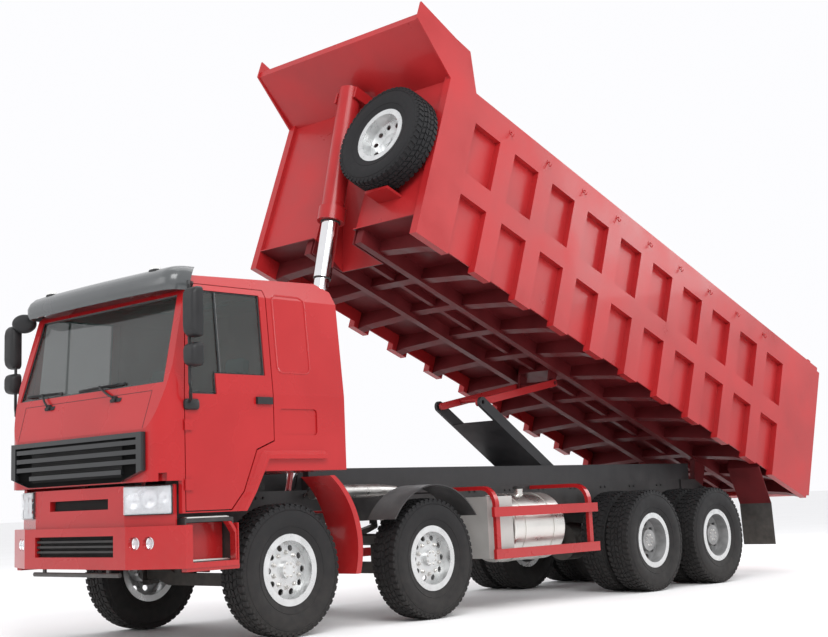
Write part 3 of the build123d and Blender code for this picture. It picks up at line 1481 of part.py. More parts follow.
def hoist_stages():
    """Nested chrome stages at their rest extension; the last ends in the lower eye."""
    _, _, _, _, length = hoist_axis()
    top = barrel_crown + stage_nest
    extension = length - hoist_closed
    result = []
    for index in range(stage_count):
        radius = stage_first_radius - stage_radius_step * index
        top += extension / stage_count
        end = top + stage_length
        last = index == stage_count - 1
        if last:
            end = length
        piece = along_hoist(top, end, radius) + along_hoist(top, top + stage_nest,
                                                            radius + stage_slack - pin_gap)
        if not last:
            inner = radius - stage_radius_step + stage_slack
            piece -= along_hoist(top + stage_nest / 2, end + overrun, inner)
        else:
            piece += rod_x(hoist_base_y, hoist_base_z, hoist_eye_radius, -hoist_eye_half_width,
                           hoist_eye_half_width)
        result.append(piece)
        top += stage_nest
    return result


def link_arm(start, end, outer_x, width, depth):
    """A flat arm with round ends between two pins, given by its outer X."""
    (ya, za), (yb, zb) = start, end
    ends = rod_x(ya, za, depth / 2, outer_x - width,
                 outer_x) + rod_x(yb, zb, depth / 2, outer_x - width, outer_x)
    turn = math.degrees(math.atan2(zb - za, yb - ya))
    length = math.hypot(yb - ya, zb - za)
    plate = Pos(outer_x - width / 2, (ya + yb) / 2,
                (za + zb) / 2) * Rot(turn, 0, 0) * Box(width, length, depth)
    return plate + ends


def lower_link():
    """Black lower stabiliser link: two arms joined by a plate and its lower cross tube."""
    base = (link_base_y, link_base_z)
    knee = (knee_y, knee_z)
    arm = link_arm(base, knee, lower_arm_outer_x, lower_arm_width, lower_arm_depth)
    link = arm + flipped(arm)
    turn = math.atan2(knee[1] - base[1], knee[0] - base[0])
    length = math.hypot(knee[0] - base[0], knee[1] - base[1])
    offset = (lower_arm_depth - lower_plate) / 2
    centre_y = (base[0] + knee[0]) / 2 - offset * math.sin(turn)
    centre_z = (base[1] + knee[1]) / 2 + offset * math.cos(turn)
    plate = Pos(0, centre_y, centre_z) * Rot(math.degrees(turn), 0, 0) * Box(
        2 * lower_arm_outer_x - lower_arm_width, length * plate_share, lower_plate)
    link += plate
    link -= rod_x(link_base_y, link_base_z, link_pin_radius + pin_gap, -rail_outer_x, rail_outer_x)
    link -= rod_x(knee_y, knee_z, link_pin_radius + pin_gap, -rail_outer_x, rail_outer_x)
    return link


def upper_link():
    """Red upper stabiliser link: two arms and a cross tube near the knee."""
    bed_pin = raised_point(link_bed_ahead, link_bed_height)
    knee = (knee_y, knee_z)
    arm = link_arm(bed_pin, knee, upper_arm_outer_x, upper_arm_width, upper_arm_depth)
    link = arm + flipped(arm)
    share_y = knee[0] + (bed_pin[0] - knee[0]) * brace_share
    share_z = knee[1] + (bed_pin[1] - knee[1]) * brace_share
    reach = upper_arm_outer_x - upper_arm_width / 2
    link += rod_x(share_y, share_z, upper_arm_depth / 3, -reach, reach)
    link -= rod_x(bed_pin[0], bed_pin[1], link_pin_radius + pin_gap, -rail_outer_x, rail_outer_x)
    return link


def link_brackets():
    """Lugs on the sub-frame with the lower link's pin."""
    lugs = None
    for side in (-1, 1):
        inner_x = rail_outer_x - rail_flange
        stub = rod_x(link_base_y, link_base_z, link_pin_radius,
                     side * (lower_arm_outer_x - lower_arm_width - pin_end), side * (inner_x + pin_end))
        lugs = stub if lugs is None else lugs + stub
    return lugs


def mudflap():
    """Steel flap bracket under the bed with the rubber flap below it, left side."""
    half = flap_width / 2
    centre = flap_x + half
    plate = bed_prism([
        (flap_root_ahead, flap_root_height), (flap_root_ahead - flap_sheet * 2, flap_root_height),
        (flap_knee_ahead - flap_sheet, flap_knee_height), (flap_knee_ahead, flap_knee_height),
    ], centre - half, centre + half)
    rubber = bed_prism([
        (flap_knee_ahead, flap_knee_height), (flap_knee_ahead - flap_sheet, flap_knee_height),
        (flap_tip_ahead - flap_sheet, flap_tip_height), (flap_tip_ahead, flap_tip_height),
    ], centre - half, centre + half)
    root = bed_block((centre - half, centre + half), (flap_root_ahead - 2 * flap_sheet, flap_root_ahead),
                     (flap_root_height, bed_floor_low - fit_gap))
    return raised(plate + rubber + root)


def spare_parts():
    """Spare tyre and rim against the headboard, with the carrier that holds them."""
    front = bed_front - headboard_setback
    middle = bed_front + spare_gap + tyre_half_width
    y = bed_y(middle)
    z = bed_z(spare_height)
    spin = Pos(spare_x, y, z) * Rot(0, 0, -90)
    rubber = spin * tyre(0, 0, 0)
    wheel = spin * rim_disc(0, 0, 0, rear_disc_offset, rear_disc_dish)
    post = Pos(spare_x, (bed_y(front) + y) / 2, z) * Rot(90, 0, 0) * Cylinder(
        spare_post_radius, bed_y(front) - y - fit_gap,
    )
    shelf = bed_block(
        (spare_x - spare_shelf_half, spare_x + spare_shelf_half), (front + fit_gap, middle),
        (spare_height - tyre_radius - spare_shelf - fit_gap, spare_height - tyre_radius - fit_gap),
    )
    return raised(rubber), raised(wheel), raised(post), raised(shelf)


def steps():
    """Step wells ahead of the front wheel: two treads between side plates."""
    result = None
    for level in step_levels:
        tread = block((step_inner_x, step_outer_x - bumper_shell - running_gap),
                      (step_front_y, step_rear_y), (level, level + step_tread))
        result = tread if result is None else result + tread
    for y in (step_front_y, step_rear_y - guard_sheet):
        result += block((step_inner_x, step_outer_x - bumper_shell - running_gap), (y, y + guard_sheet),
                        (step_levels[0], step_levels[1] + step_tread))
    result += block((step_inner_x - guard_sheet, step_inner_x), (step_front_y, step_rear_y),
                    (step_levels[0], step_levels[1] + step_tread))
    arm = block((rail_outer_x + fit_gap, step_inner_x - guard_sheet / 2),
                (step_front_y + 4 * step_arm, step_front_y + 6 * step_arm),
                (rail_low_z, rail_low_z + step_arm))
    result += arm
    return result


def mudguards():
    """Half guard behind the first wheel and arched guard over the second, left side."""
    start = (half_guard_y, half_guard_low_z)
    bow = (half_guard_bow_y, half_guard_bow_z)
    front = (half_guard_front_y, half_guard_front_z)
    half = bent_sheet(start, bow, front, guard_sheet, mudguard_inner_x, mudguard_outer_x)
    half += bent_sheet(start, bow, front, half_guard_lip, mudguard_outer_x - guard_sheet, mudguard_outer_x)
    stay_y = half_guard_bow_y + guard_sheet / 2
    stay_half = rod_between((rail_outer_x + fit_gap, stay_y, half_guard_bow_z),
                            (mudguard_inner_x + guard_sheet, stay_y, half_guard_bow_z), guard_sheet)
    ring = rod_x(axle_2_y, tyre_radius, arc_guard_radius, mudguard_inner_x,
                 mudguard_outer_x - 2 * guard_sheet)
    ring -= rod_x(axle_2_y, tyre_radius, arc_guard_radius - guard_sheet, 0, bed_half_width)
    ring &= block((mudguard_inner_x, bed_half_width),
                  (axle_2_y - arc_guard_radius, axle_2_y + arc_guard_radius),
                  (tyre_radius + arc_guard_radius * arc_low_share, tyre_radius + 2 * arc_guard_radius))
    stay_y = axle_2_y + arc_stay
    stay_z = tyre_radius + math.sqrt((arc_guard_radius - guard_sheet / 2) ** 2 - arc_stay ** 2)
    stay = rod_between((rail_outer_x + fit_gap, stay_y, stay_z),
                       (mudguard_inner_x + guard_sheet, stay_y, stay_z), guard_sheet)
    return half + stay_half, ring + stay


def fuel_tank():
    """Round fuel tank on the left with two straps and a filler neck."""
    middle = (tank_front_y + tank_rear_y) / 2
    tank = Pos(tank_axis_x, middle, tank_axis_z) * Rot(90, 0, 0) * Cylinder(
        tank_radius, tank_rear_y - tank_front_y,
    )
    tank = fillet(tank.edges().filter_by(GeomType.CIRCLE), tank_edge)
    for share in tank_strap_shares:
        y = tank_front_y + (tank_rear_y - tank_front_y) * share
        tank += Pos(tank_axis_x, y, tank_axis_z) * Rot(90, 0, 0) * Cylinder(
            tank_radius + tank_band_proud, tank_band_width,
        )
        tank += block((rail_outer_x + fit_gap, tank_axis_x),
                      (y - tank_band_width / 2, y + tank_band_width / 2),
                      (rail_low_z, rail_low_z + tank_band_width))
    neck_y = (tank_front_y + tank_rear_y) / 2
    tank += Pos(tank_axis_x + tank_neck_x, neck_y,
                tank_axis_z + tank_radius) * Cylinder(tank_neck_radius, tank_neck_height)
    return tank


def side_boxes():
    """Battery box on the left and two air tanks on the right."""
    box = block((box_inner_x, battery_outer_x), (battery_front_y, battery_rear_y),
                (battery_low_z, battery_high_z))
    box += block((rail_outer_x + fit_gap, box_inner_x + overrun),
                 (battery_front_y + box_lug, battery_rear_y - box_lug),
                 (rail_low_z + box_lug, rail_low_z + 3 * box_lug))
    tanks = []
    for level in (-1, 1):
        tanks.append(
            Pos(-air_tank_x, battery_rear_y + air_tank_length / 2,
                tank_axis_z + level * air_tank_rise) * Rot(90, 0, 0) * Cylinder(
                    air_tank_radius, air_tank_length,
                )
        )
    strap = block((-air_tank_x - box_lug, -rail_outer_x - fit_gap),
                  (battery_rear_y + box_lug, battery_rear_y + 2 * box_lug),
                  (tank_axis_z - air_tank_radius, rail_low_z + 3 * box_lug))
    return [box, tanks[0] + tanks[1] + strap]


def side_guard():
    """Side guard of two rails and curved-topped posts on the left, and plain rails on the right."""
    outer = side_bar_x + side_bar_thickness
    guard = None
    for level in side_bar_levels:
        bar = block((side_bar_x, outer), (side_bar_front_y, side_bar_rear_y),
                    (level, level + side_bar_height))
        guard = bar if guard is None else guard + bar
    top = side_post_top + side_post_depth
    for y in (side_bar_front_y + side_post_inset, side_bar_rear_y - side_post_inset - side_post_width):
        post = block((rail_outer_x + fit_gap, side_bar_x), (y, y + side_post_width),
                     (side_bar_levels[0], top))
        outer_edge = post.edges().filter_by(Axis.Y).sort_by(Axis.X)[-2:].sort_by(Axis.Z)[-1]
        post = fillet(outer_edge, side_post_bend)
        hollow = block((rail_outer_x, side_bar_x - side_post_depth), (y, y + side_post_width),
                       (side_bar_levels[0] - overrun, side_post_top))
        inner_edge = hollow.edges().filter_by(Axis.Y).sort_by(Axis.X)[-2:].sort_by(Axis.Z)[-1]
        guard += post - fillet(inner_edge, side_post_bend - side_post_depth)
    return guard


def exhaust():
    """Straight silver exhaust pipe beside the left rail, ending in a cone."""
    pipe = rod_between((pipe_x, pipe_front_y, pipe_z), (pipe_x, pipe_rear_y, pipe_z), pipe_radius)
    cone = Plane(origin=(pipe_x, pipe_rear_y, pipe_z), z_dir=(0, 1, 0)) * Cone(
        pipe_radius, pipe_tail_radius, pipe_cone_y - pipe_rear_y,
        align=(Align.CENTER, Align.CENTER, Align.MIN),
    )
    lug = block((rail_outer_x + fit_gap, pipe_x), (pipe_front_y + box_lug, pipe_front_y + 2 * box_lug),
                (pipe_z - pipe_radius / 2, pipe_z))
    return pipe + cone + lug


def engine():
    """Engine and gearbox as one plain block between the rails."""
    return prism_x(
        [(engine_front_y, engine_low_z), (engine_front_y, engine_high_z), (engine_rear_y, engine_high_z),
         (engine_rear_y, gearbox_high_z), (gearbox_rear_y, gearbox_high_z),
         (gearbox_rear_y, engine_low_z)], -engine_half_width, engine_half_width,
    )


def cab_mounts():
    """Brackets on the rails that carry the cab's tilt pins."""
    ears = None
    for side in (-1, 1):
        centre = side * (tilt_ear_x + tilt_ear / 2 + running_gap + tilt_ear / 2)
        ear = block((centre - tilt_ear / 2, centre + tilt_ear / 2),
                    (cab_tilt_y - tilt_ear_half, rail_front_y), (rail_low_z, cab_tilt_z + tilt_ear_half))
        pin = rod_x(cab_tilt_y, cab_tilt_z, tilt_pin_radius, side * (tilt_ear_x - tilt_ear / 2 - pin_end),
                    centre)
        ears = ear + pin if ears is None else ears + ear + pin
    return ears


def rear_lamps():
    """Two tail lamp boxes on the tow plate's arms."""
    result = []
    for side in (-1, 1):
        centre = side * rear_lamp_x
        result.append(block((centre - rear_lamp_width / 2, centre + rear_lamp_width / 2),
                            (rail_rear_y + fit_gap, rail_rear_y + rear_lamp_depth),
                            (rear_lamp_z, rear_lamp_z + rear_lamp_height)))
    return result


def door_mirrors():
    """Two mirror heads on a bracket at the left door's front edge."""
    post_y = mirror_y - mirror_forward
    post = (mirror_x, post_y)
    bracket = rod_between((*post, mirror_low_z), (*post, mirror_high_z), mirror_rod)
    foot_x = cab_half_width + fit_gap
    bracket += block((foot_x, foot_x + mirror_foot),
                     (mirror_y - 2 * mirror_foot, mirror_y + 2 * mirror_foot),
                     (mirror_low_z - 4 * mirror_foot, mirror_low_z + 4 * mirror_foot))
    bracket += rod_between((foot_x + mirror_foot / 2, mirror_y, mirror_low_z),
                           (*post, mirror_low_z + mirror_rise), mirror_arm)
    bracket += rod_between((cab_half_width - mirror_high_inset, mirror_high_y, mirror_top_z),
                           (*post, mirror_high_z - mirror_rise), mirror_arm)
    for low, high in ((mirror_head_low, mirror_head_high), (mirror_small_low, mirror_small_high)):
        bracket += block((mirror_x - mirror_head_inner, mirror_x + mirror_head_outer),
                         (post_y - mirror_head_depth, post_y + mirror_head_depth), (low, high))
    return bracket


os.makedirs("parts", exist_ok=True)

save("chassis_frame", chassis_frame() + cab_mounts())
save("subframe", subframe() + link_brackets())
save("front_bumper", bumper())
front_fogs = fog_lamps()
save("lamps", [lamp_blocks()] + front_fogs + [flipped(fog) for fog in front_fogs] + rear_lamps())
save("side_steps", both(steps()))
save("front_axles", [front_axle(axle_1_y), front_axle(axle_2_y)])
save("drive_axles", [drive_axle(axle_3_y), drive_axle(axle_4_y)])
front_springs = []
for place in (axle_1_y, axle_2_y):
    front_springs += both(
        leaf_stack(spring_x, place, rail_low_z - front_spring_drop, front_spring_half, front_spring_sag,
                   spring_thickness, spring_width, False)
    )
rear_springs = both(
    leaf_stack(rear_spring_x, bogie_y, tyre_radius + drive_tube_radius + fit_gap, bogie_spacing / 2,
               rear_spring_sag, rear_spring_thickness, spring_width, True)
)
save("leaf_springs", front_springs + rear_springs)
save("propshafts", [
    propshaft(gearbox_rear_y, shaft_z, axle_3_y - bowl_length / 2),
    propshaft(axle_3_y + bowl_length / 2, tyre_radius, axle_4_y - bowl_length / 2),
])
save("engine", engine())
save("fuel_tank", fuel_tank())
save("side_boxes", side_boxes())
save("side_guards", both(side_guard()))
save("exhaust", exhaust())
guards = mudguards()
save("mudguards", both(guards[0]) + both(guards[1]))

shell, left_leaf, left_pane = cab_and_doors()
save("cab_shell", shell)
save("windscreen", windscreen())
save("front_grille", grille_panel())
save("sun_visor", visor())
save("seats", seats())
save("dashboard", dashboard())
save("door_left", left_leaf)
save("door_right", flipped(left_leaf))
save("door_glass_left", left_pane)
save("door_glass_right", flipped(left_pane))
save("mirrors_left", door_mirrors())
save("mirrors_right", flipped(door_mirrors()))

spare_rubber, spare_wheel, spare_post, spare_shelf_piece = spare_parts()
save("bed_tub", bed_tub() + gate_hinges() + spare_shelf_piece)
save("bed_underframe", bed_underframe())
save("bed_mudflaps", both(mudflap()))
save("spare_tyre", spare_rubber)
save("spare_rim", spare_wheel + spare_post)
save("tailgate", tailgate())
save("hoist_barrel", hoist_barrel())
for index, stage in enumerate(hoist_stages()):
    save("hoist_stage_" + str(index + 1), stage)
save("stabiliser_lower_link", lower_link())
save("stabiliser_upper_link", upper_link())

for name, place in wheel_table:
    rubber, wheel = front_wheel(place)
    left = knuckle(place)
    save("knuckle_" + name + "_left", left)
    save("knuckle_" + name + "_right", flipped(left))
    save("tyre_" + name + "_left", rubber)
    save("tyre_" + name + "_right", flipped(rubber))
    save("rim_" + name + "_left", wheel)
    save("rim_" + name + "_right", flipped(wheel))
for name, place in drive_table:
    rubbers, wheel = rear_wheel(place)
    save("tyres_" + name + "_left", rubbers)
    save("tyres_" + name + "_right", [flipped(rubber) for rubber in rubbers])
    save("rims_" + name + "_left", wheel)
    save("rims_" + name + "_right", flipped(wheel))
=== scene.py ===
import json
from math import copysign, cos, exp, hypot, pi, radians, sin, sqrt

import bmesh
import bpy
from mathutils import Matrix, Vector
from mathutils.bvhtree import BVHTree


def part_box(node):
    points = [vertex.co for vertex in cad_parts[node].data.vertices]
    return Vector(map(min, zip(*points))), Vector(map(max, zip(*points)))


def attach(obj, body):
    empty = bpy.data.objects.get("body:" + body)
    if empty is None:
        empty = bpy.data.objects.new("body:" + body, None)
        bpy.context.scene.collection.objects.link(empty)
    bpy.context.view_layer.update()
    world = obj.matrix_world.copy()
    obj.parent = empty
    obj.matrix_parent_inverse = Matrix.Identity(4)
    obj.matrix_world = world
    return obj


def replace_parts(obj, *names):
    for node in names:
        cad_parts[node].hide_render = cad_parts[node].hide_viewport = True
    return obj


# Four-axle dump truck with its bed raised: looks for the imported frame.
# X runs to the truck's left, Y to its rear and Z up, in metres.

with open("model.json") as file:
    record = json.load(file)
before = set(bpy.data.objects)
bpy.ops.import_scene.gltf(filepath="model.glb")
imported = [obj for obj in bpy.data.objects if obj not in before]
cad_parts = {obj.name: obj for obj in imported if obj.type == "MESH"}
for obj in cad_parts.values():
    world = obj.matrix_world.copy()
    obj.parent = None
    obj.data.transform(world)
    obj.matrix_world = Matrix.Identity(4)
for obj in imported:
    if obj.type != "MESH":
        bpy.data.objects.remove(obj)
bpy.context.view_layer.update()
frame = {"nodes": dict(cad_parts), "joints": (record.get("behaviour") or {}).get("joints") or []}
nodes = frame["nodes"]
joints = {joint["name"]: joint for joint in frame["joints"]}
sides = (("left", 1), ("right", -1))

# Camera at the photograph's viewing angle, placed from the first axle
image_width = 828.0
sensor_width = 36.0
focal_pixels = 1370.18
camera_offset = Vector((10.135, -7.964, 1.099))
camera_yaw = radians(44.32)
camera_pitch = radians(10.12)
camera_roll = radians(-2.27)
shift_right = 33.25 / image_width
shift_up = -60.75 / image_width
view_limit = 500.0

# Wheels
axle_1_y, wheel_centre_z = joints["wheel_1_left_spin"]["pos_m"][1:]
tyre_radius = 0.5625
tyre_half = 0.1575
tread_half = 0.128
tread_depth = 0.015
tread_crown = 0.006
tread_draft = 0.0015
bead_radius = 0.303
tyre_pitches = 54
front_track = 1.011
twin_places = (0.740, 1.090)
rim_dish_radius = 0.248

# Bed
bed_pivot = Vector(joints["bed_tilt"]["pos_m"])
bed_tilt = radians(20.5)
bed_half_width = 1.250

# Edges sharper than these stay sharp in the shading
sharp_angle = radians(35)
tyre_sharp_angle = radians(28)

box_faces = ((0, 1, 3, 2), (4, 6, 7, 5), (0, 4, 5, 1), (2, 3, 7, 6), (0, 2, 6, 4), (1, 5, 7, 3))


def mesh_from(name, points, faces, material, angle=sharp_angle):
    """A mesh with its faces turned outward, its shading rounded except across edges sharper than angle."""
    mesh = bpy.data.meshes.new(name)
    mesh.from_pydata([tuple(p) for p in points], [], faces)
    mesh.validate()
    form = bmesh.new()
    form.from_mesh(mesh)
    bmesh.ops.recalc_face_normals(form, faces=form.faces)
    form.normal_update()
    for face in form.faces:
        face.smooth = True
    for edge in form.edges:
        edge.smooth = len(edge.link_faces) != 2 or edge.calc_face_angle(0.0) <= angle
    form.to_mesh(mesh)
    form.free()
    mesh.materials.append(material)
    return mesh


def added(name, data):
    """A new object in the scene."""
    item = bpy.data.objects.new(name, data)
    bpy.context.scene.collection.objects.link(item)
    return item


def show(name, mesh, body):
    """A new piece that shows a mesh and rides on a body."""
    piece = added(name, mesh)
    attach(piece, body)
    return piece


def neighbours(count):
    """Pairs of numbers that follow each other round a ring."""
    return [(k, (k + 1) % count) for k in range(count)]


def circle(count, offset=0.0):
    """Angles evenly spaced round a circle."""
    return [2 * pi * (k + offset) / count for k in range(count)]


class Builder:
    """Collects points and faces of one piece."""

    def __init__(self):
        self.points = []
        self.faces = []

    def add(self, points, faces, place=None):
        start = len(self.points)
        self.points += [place @ Vector(p) if place else Vector(p) for p in points]
        self.faces += [tuple(start + i for i in face) for face in faces]

    def box(self, low, high):
        """A plain box between two corners."""
        self.add([(x, y, z) for x in (low[0], high[0]) for y in (low[1], high[1]) for z in (low[2], high[2])],
                 box_faces)

    def rings(self, rows, closed=False, place=None):
        """A skin over rows of points, each row an outline with the same number of points.

        The ends are capped unless the last row meets the first."""
        size = len(rows[0])
        steps = neighbours(len(rows))
        faces = [(first * size + a, first * size + b, second * size + b, second * size + a)
                 for first, second in (steps if closed else steps[:-1]) for a, b in neighbours(size)]
        if not closed:
            faces += [tuple(reversed(range(size))), tuple((len(rows) - 1) * size + k for k in range(size))]
        self.add([p for row in rows for p in row], faces, place)

    def turned(self, profile, segments, place=None):
        """A ring turned about local X from a closed outline of (offset along X, radius) points."""
        self.rings([[(x, r * cos(turn), r * sin(turn)) for x, r in profile] for turn in circle(segments)], True, place)

    def disc(self, low, high, radius, segments, place, taper):
        """A cylinder along local X with a chamfered outer end."""
        edge = min(taper, radius / 2)
        points = [(low, 0, 0), (high, 0, 0)]
        for turn in circle(segments):
            points += [(x, r * cos(turn), r * sin(turn))
                       for x, r in ((low, radius), (high - edge, radius), (high, radius - edge))]
        faces = []
        for a, b in neighbours(segments):
            a, b = 2 + 3 * a, 2 + 3 * b
            faces += [(0, b, a), (a, b, b + 1, a + 1), (a + 1, b + 1, b + 2, a + 2), (1, a + 2, b + 2)]
        self.add(points, faces, place)

    def tube(self, path, radius, segments=10, out=(0, 0, 1), closed=False):
        """A round tube along a list of points. out is a direction square to a flat path."""
        path = [Vector(p) for p in path]
        rows = []
        for index, point in enumerate(path):
            before = path[index - 1] if closed else path[max(index - 1, 0)]
            after = path[(index + 1) % len(path)] if closed else path[min(index + 1, len(path) - 1)]
            along = (after - before).normalized()
            side = along.cross(Vector(out))
            if side.length < 0.1:
                side = along.cross(Vector((1, 0, 0)))
            side.normalize()
            other = side.cross(along)
            widen = 1.0
            if (after - point).length > 0 and (point - before).length > 0:
                bend = (after - point).normalized().dot((point - before).normalized())
                widen = 1 / max(sqrt(max((1 + bend) / 2, 0.0)), 0.6)
            rows.append([point + radius * (cos(t) * widen * side + sin(t) * other) for t in circle(segments)])
        self.rings(rows, closed)

    def pad(self, levels, spot, steps):
        """A skin over round-cornered rectangles, given as (depth, half a, half b, corner radius).

        spot turns (a, b, depth) into a place."""
        self.rings([[spot(a, b, depth) for a, b in round_outline(half_a, half_b, corner, steps)]
                    for depth, half_a, half_b, corner in levels])

    def nut(self, place, radius, height):
        """A hexagonal nut with a washer and a short stud, standing on local X."""
        self.disc(-0.002, 0.003, radius * 1.35, 14, place, 0.001)
        self.disc(0.0, height, radius, 6, place, height * 0.2)
        self.disc(0.0, height * 1.5, radius * 0.45, 8, place, height * 0.1)

    def piece(self, name, material, body, slot="dark_plastic"):
        return show(name, mesh_from(name, self.points, self.faces, material), body)


def search_tree(mesh):
    """A search tree over a mesh, for finding where a line meets it."""
    return BVHTree.FromPolygons([v.co.copy() for v in mesh.vertices], [tuple(f.vertices) for f in mesh.polygons])


def touch(tree, start, toward):
    """The first point where a line meets the surface, with the surface's direction there.

    Where the line misses, it is the surface's nearest point to the start."""
    place, normal, _, _ = tree.ray_cast(Vector(start), Vector(toward).normalized())
    if place is None:
        place, normal, _, _ = tree.find_nearest(Vector(start))
    return place, normal


def standing(place, normal):
    """The local frame at a place whose X stands on the surface."""
    return Matrix.Translation(place) @ normal.to_track_quat("X", "Z").to_matrix().to_4x4()


def turned_to(place, degrees, axis="Z"):
    """The local frame at a place, turned about one axis."""
    return Matrix.Translation(place) @ Matrix.Rotation(radians(degrees), 4, axis)


def chosen_faces(node, test):
    """A form with only those faces of a CAD node whose centre and direction pass the test."""
    form = bmesh.new()
    form.from_mesh(nodes[node].data)
    bmesh.ops.remove_doubles(form, verts=form.verts, dist=1e-5)
    form.normal_update()
    drop = [face for face in form.faces if not test(face.calc_center_median(), face.normal)]
    bmesh.ops.delete(form, geom=drop, context="FACES")
    return form


def skin(name, node, test, lift, thickness, material, body):
    """A thin shell laid over chosen faces of a CAD node."""
    form = chosen_faces(node, test)
    form.normal_update()
    inner = [vertex.co + vertex.normal * lift for vertex in form.verts]
    outer = [vertex.co + vertex.normal * (lift + thickness) for vertex in form.verts]
    form.verts.index_update()
    count = len(form.verts)
    faces = [tuple(v.index + count for v in face.verts) for face in form.faces]
    faces += [tuple(v.index for v in reversed(face.verts)) for face in form.faces]
    for edge in form.edges:
        if len(edge.link_faces) == 1:
            a, b = edge.verts[0].index, edge.verts[1].index
            faces.append((a, b, b + count, a + count))
    form.free()
    show(name, mesh_from(name, inner + outer, faces, material), body)


def rims(node, test):
    """The edge loops round chosen faces of a CAD node, each as a list of points."""
    form = chosen_faces(node, test)
    ends = {}
    for edge in form.edges:
        if len(edge.link_faces) == 1:
            for vertex in edge.verts:
                ends.setdefault(vertex, []).append(edge.other_vert(vertex))
    loops = []
    while ends:
        start = min(ends, key=lambda v: tuple(v.co))
        loop, last, here = [start], None, start
        while True:
            following = [v for v in ends[here] if v != last and (v == start or v not in loop)]
            if not following or following[0] == start:
                break
            last, here = here, following[0]
            loop.append(here)
        loops.append([v.co.copy() for v in loop])
        for vertex in loop:
            ends.pop(vertex, None)
    form.free()
    return [loop for loop in loops if len(loop) > 2]


def seal(name, node, test, out, radius, body):
    """A rubber bead along the edge of chosen faces of a CAD node."""
    part = Builder()
    for loop in rims(node, test):
        spaced = [loop[0]]
        for point in loop[1:]:
            if (point - spaced[-1]).length > 1.2 * radius:
                spaced.append(point)
        part.tube(spaced, radius, 8, out, closed=True)
    part.piece(name, gloss_black, body)


def round_outline(half_a, half_b, corner, steps=6):
    """A rectangle with round corners, as (a, b) pairs."""
    pairs = []
    for turn, (side_a, side_b) in enumerate(((1, 1), (-1, 1), (-1, -1), (1, -1))):
        for step in range(steps + 1):
            angle = pi / 2 * (turn + step / steps)
            pairs.append((side_a * (half_a - corner) + corner * cos(angle),
                          side_b * (half_b - corner) + corner * sin(angle)))
    return pairs


# Materials

def feed(tree, node, **inputs):
    """Gives a shader node's inputs a value each, or links them to another node's output."""
    for name, value in inputs.items():
        socket = node.inputs[name.replace("_", " ")]
        if isinstance(value, bpy.types.NodeSocket):
            tree.links.new(value, socket)
        else:
            socket.default_value = value
    return node


def finish(name, colour, roughness, metallic=0.0, coat=0.0, specular=0.5, patches=(6.0, 0.12), spread=0.12,
           grain=None, dust=None):
    """A procedural finish: broad colour patches, varied roughness, fine bump and road dust low down.

    patches and grain are (scale, depth), dust is (share at the ground, height where it ends)."""
    material = bpy.data.materials.new(name)
    material.use_nodes = True
    tree = material.node_tree

    def node(kind, **inputs):
        return feed(tree, tree.nodes.new("ShaderNode" + kind), **inputs)

    def noise(scale, detail):
        return node("TexNoise", Scale=scale, Detail=detail, Vector=place).outputs["Fac"]

    place = node("TexCoord").outputs["Object"]
    patch_scale, patch_depth = patches
    patch = noise(patch_scale, 5.0)
    ramp = node("ValToRGB", Fac=patch)
    for element, position, change in zip(ramp.color_ramp.elements, (0.3, 0.7), (1 - patch_depth, 1 + patch_depth)):
        element.position = position
        element.color = (*[min(c * change, 1.0) for c in colour], 1)
    base = ramp.outputs["Color"]
    rough = node("MapRange", From_Min=0.3, From_Max=0.7, To_Min=max(roughness - spread, 0.02),
                 To_Max=min(roughness + spread, 1.0), Value=patch)
    if dust:
        share, height = dust
        split = node("SeparateXYZ", Vector=place)
        fade = node("MapRange", From_Min=height, From_Max=0.0, To_Min=0.0, To_Max=share, Value=split.outputs["Z"])
        amount = node("Math")
        amount.operation = "MULTIPLY"
        tree.links.new(fade.outputs["Result"], amount.inputs[0])
        tree.links.new(noise(14.0, 8.0), amount.inputs[1])
        mix = node("Mix")
        mix.data_type = "RGBA"
        feed(tree, mix, Factor=amount.outputs["Value"], A=base, B=(0.30, 0.26, 0.22, 1))
        base = mix.outputs["Result"]
    shader = feed(tree, tree.nodes["Principled BSDF"], Metallic=metallic, Coat_Weight=coat, Coat_Roughness=0.06,
                  Specular_IOR_Level=specular, Base_Color=base, Roughness=rough.outputs["Result"])
    if grain:
        bump = node("Bump", Strength=grain[1], Distance=0.002, Height=noise(grain[0], 3.0))
        feed(tree, shader, Normal=bump.outputs["Normal"])
    return material


def pane(name, colour, alpha):
    """Tinted glass with faint smears."""
    material = finish(name, colour, 0.05, coat=0.3, patches=(2.5, 0.15), spread=0.03)
    feed(material.node_tree, material.node_tree.nodes["Principled BSDF"], Alpha=alpha, IOR=1.5,
         Specular_IOR_Level=0.7)
    return material


red = finish("red_paint", (0.345, 0.009, 0.011), 0.27, coat=0.30, specular=0.28, patches=(1.3, 0.07), spread=0.07,
             grain=(420.0, 0.03), dust=(0.10, 1.4))
bed_red = finish("bed_red_paint", (0.34, 0.014, 0.016), 0.38, coat=0.12, specular=0.30, patches=(1.8, 0.12),
                 grain=(260.0, 0.10))
# Darker red: painted shade under the raised bed, on its underframe, the underside of its floor and the tops of its mud
# flaps
painted_shade_red = finish("bed_red_painted_shade", (0.105, 0.010, 0.012), 0.5, specular=0.2, patches=(3.0, 0.25),
                   grain=(160.0, 0.15))
black = finish("black_paint", (0.018, 0.018, 0.020), 0.42, specular=0.35, patches=(5.0, 0.2), grain=(220.0, 0.10),
               dust=(0.35, 1.5))
iron = finish("dark_iron", (0.030, 0.029, 0.028), 0.6, metallic=0.3, patches=(9.0, 0.3), grain=(90.0, 0.35),
              dust=(0.5, 1.1))
plastic = finish("black_plastic", (0.014, 0.014, 0.015), 0.5, specular=0.3, patches=(8.0, 0.15),
                 grain=(500.0, 0.18), dust=(0.15, 2.0))
gloss_black = finish("gloss_black_plastic", (0.012, 0.013, 0.014), 0.20, coat=0.25, specular=0.4,
                     patches=(3.0, 0.1), spread=0.05)
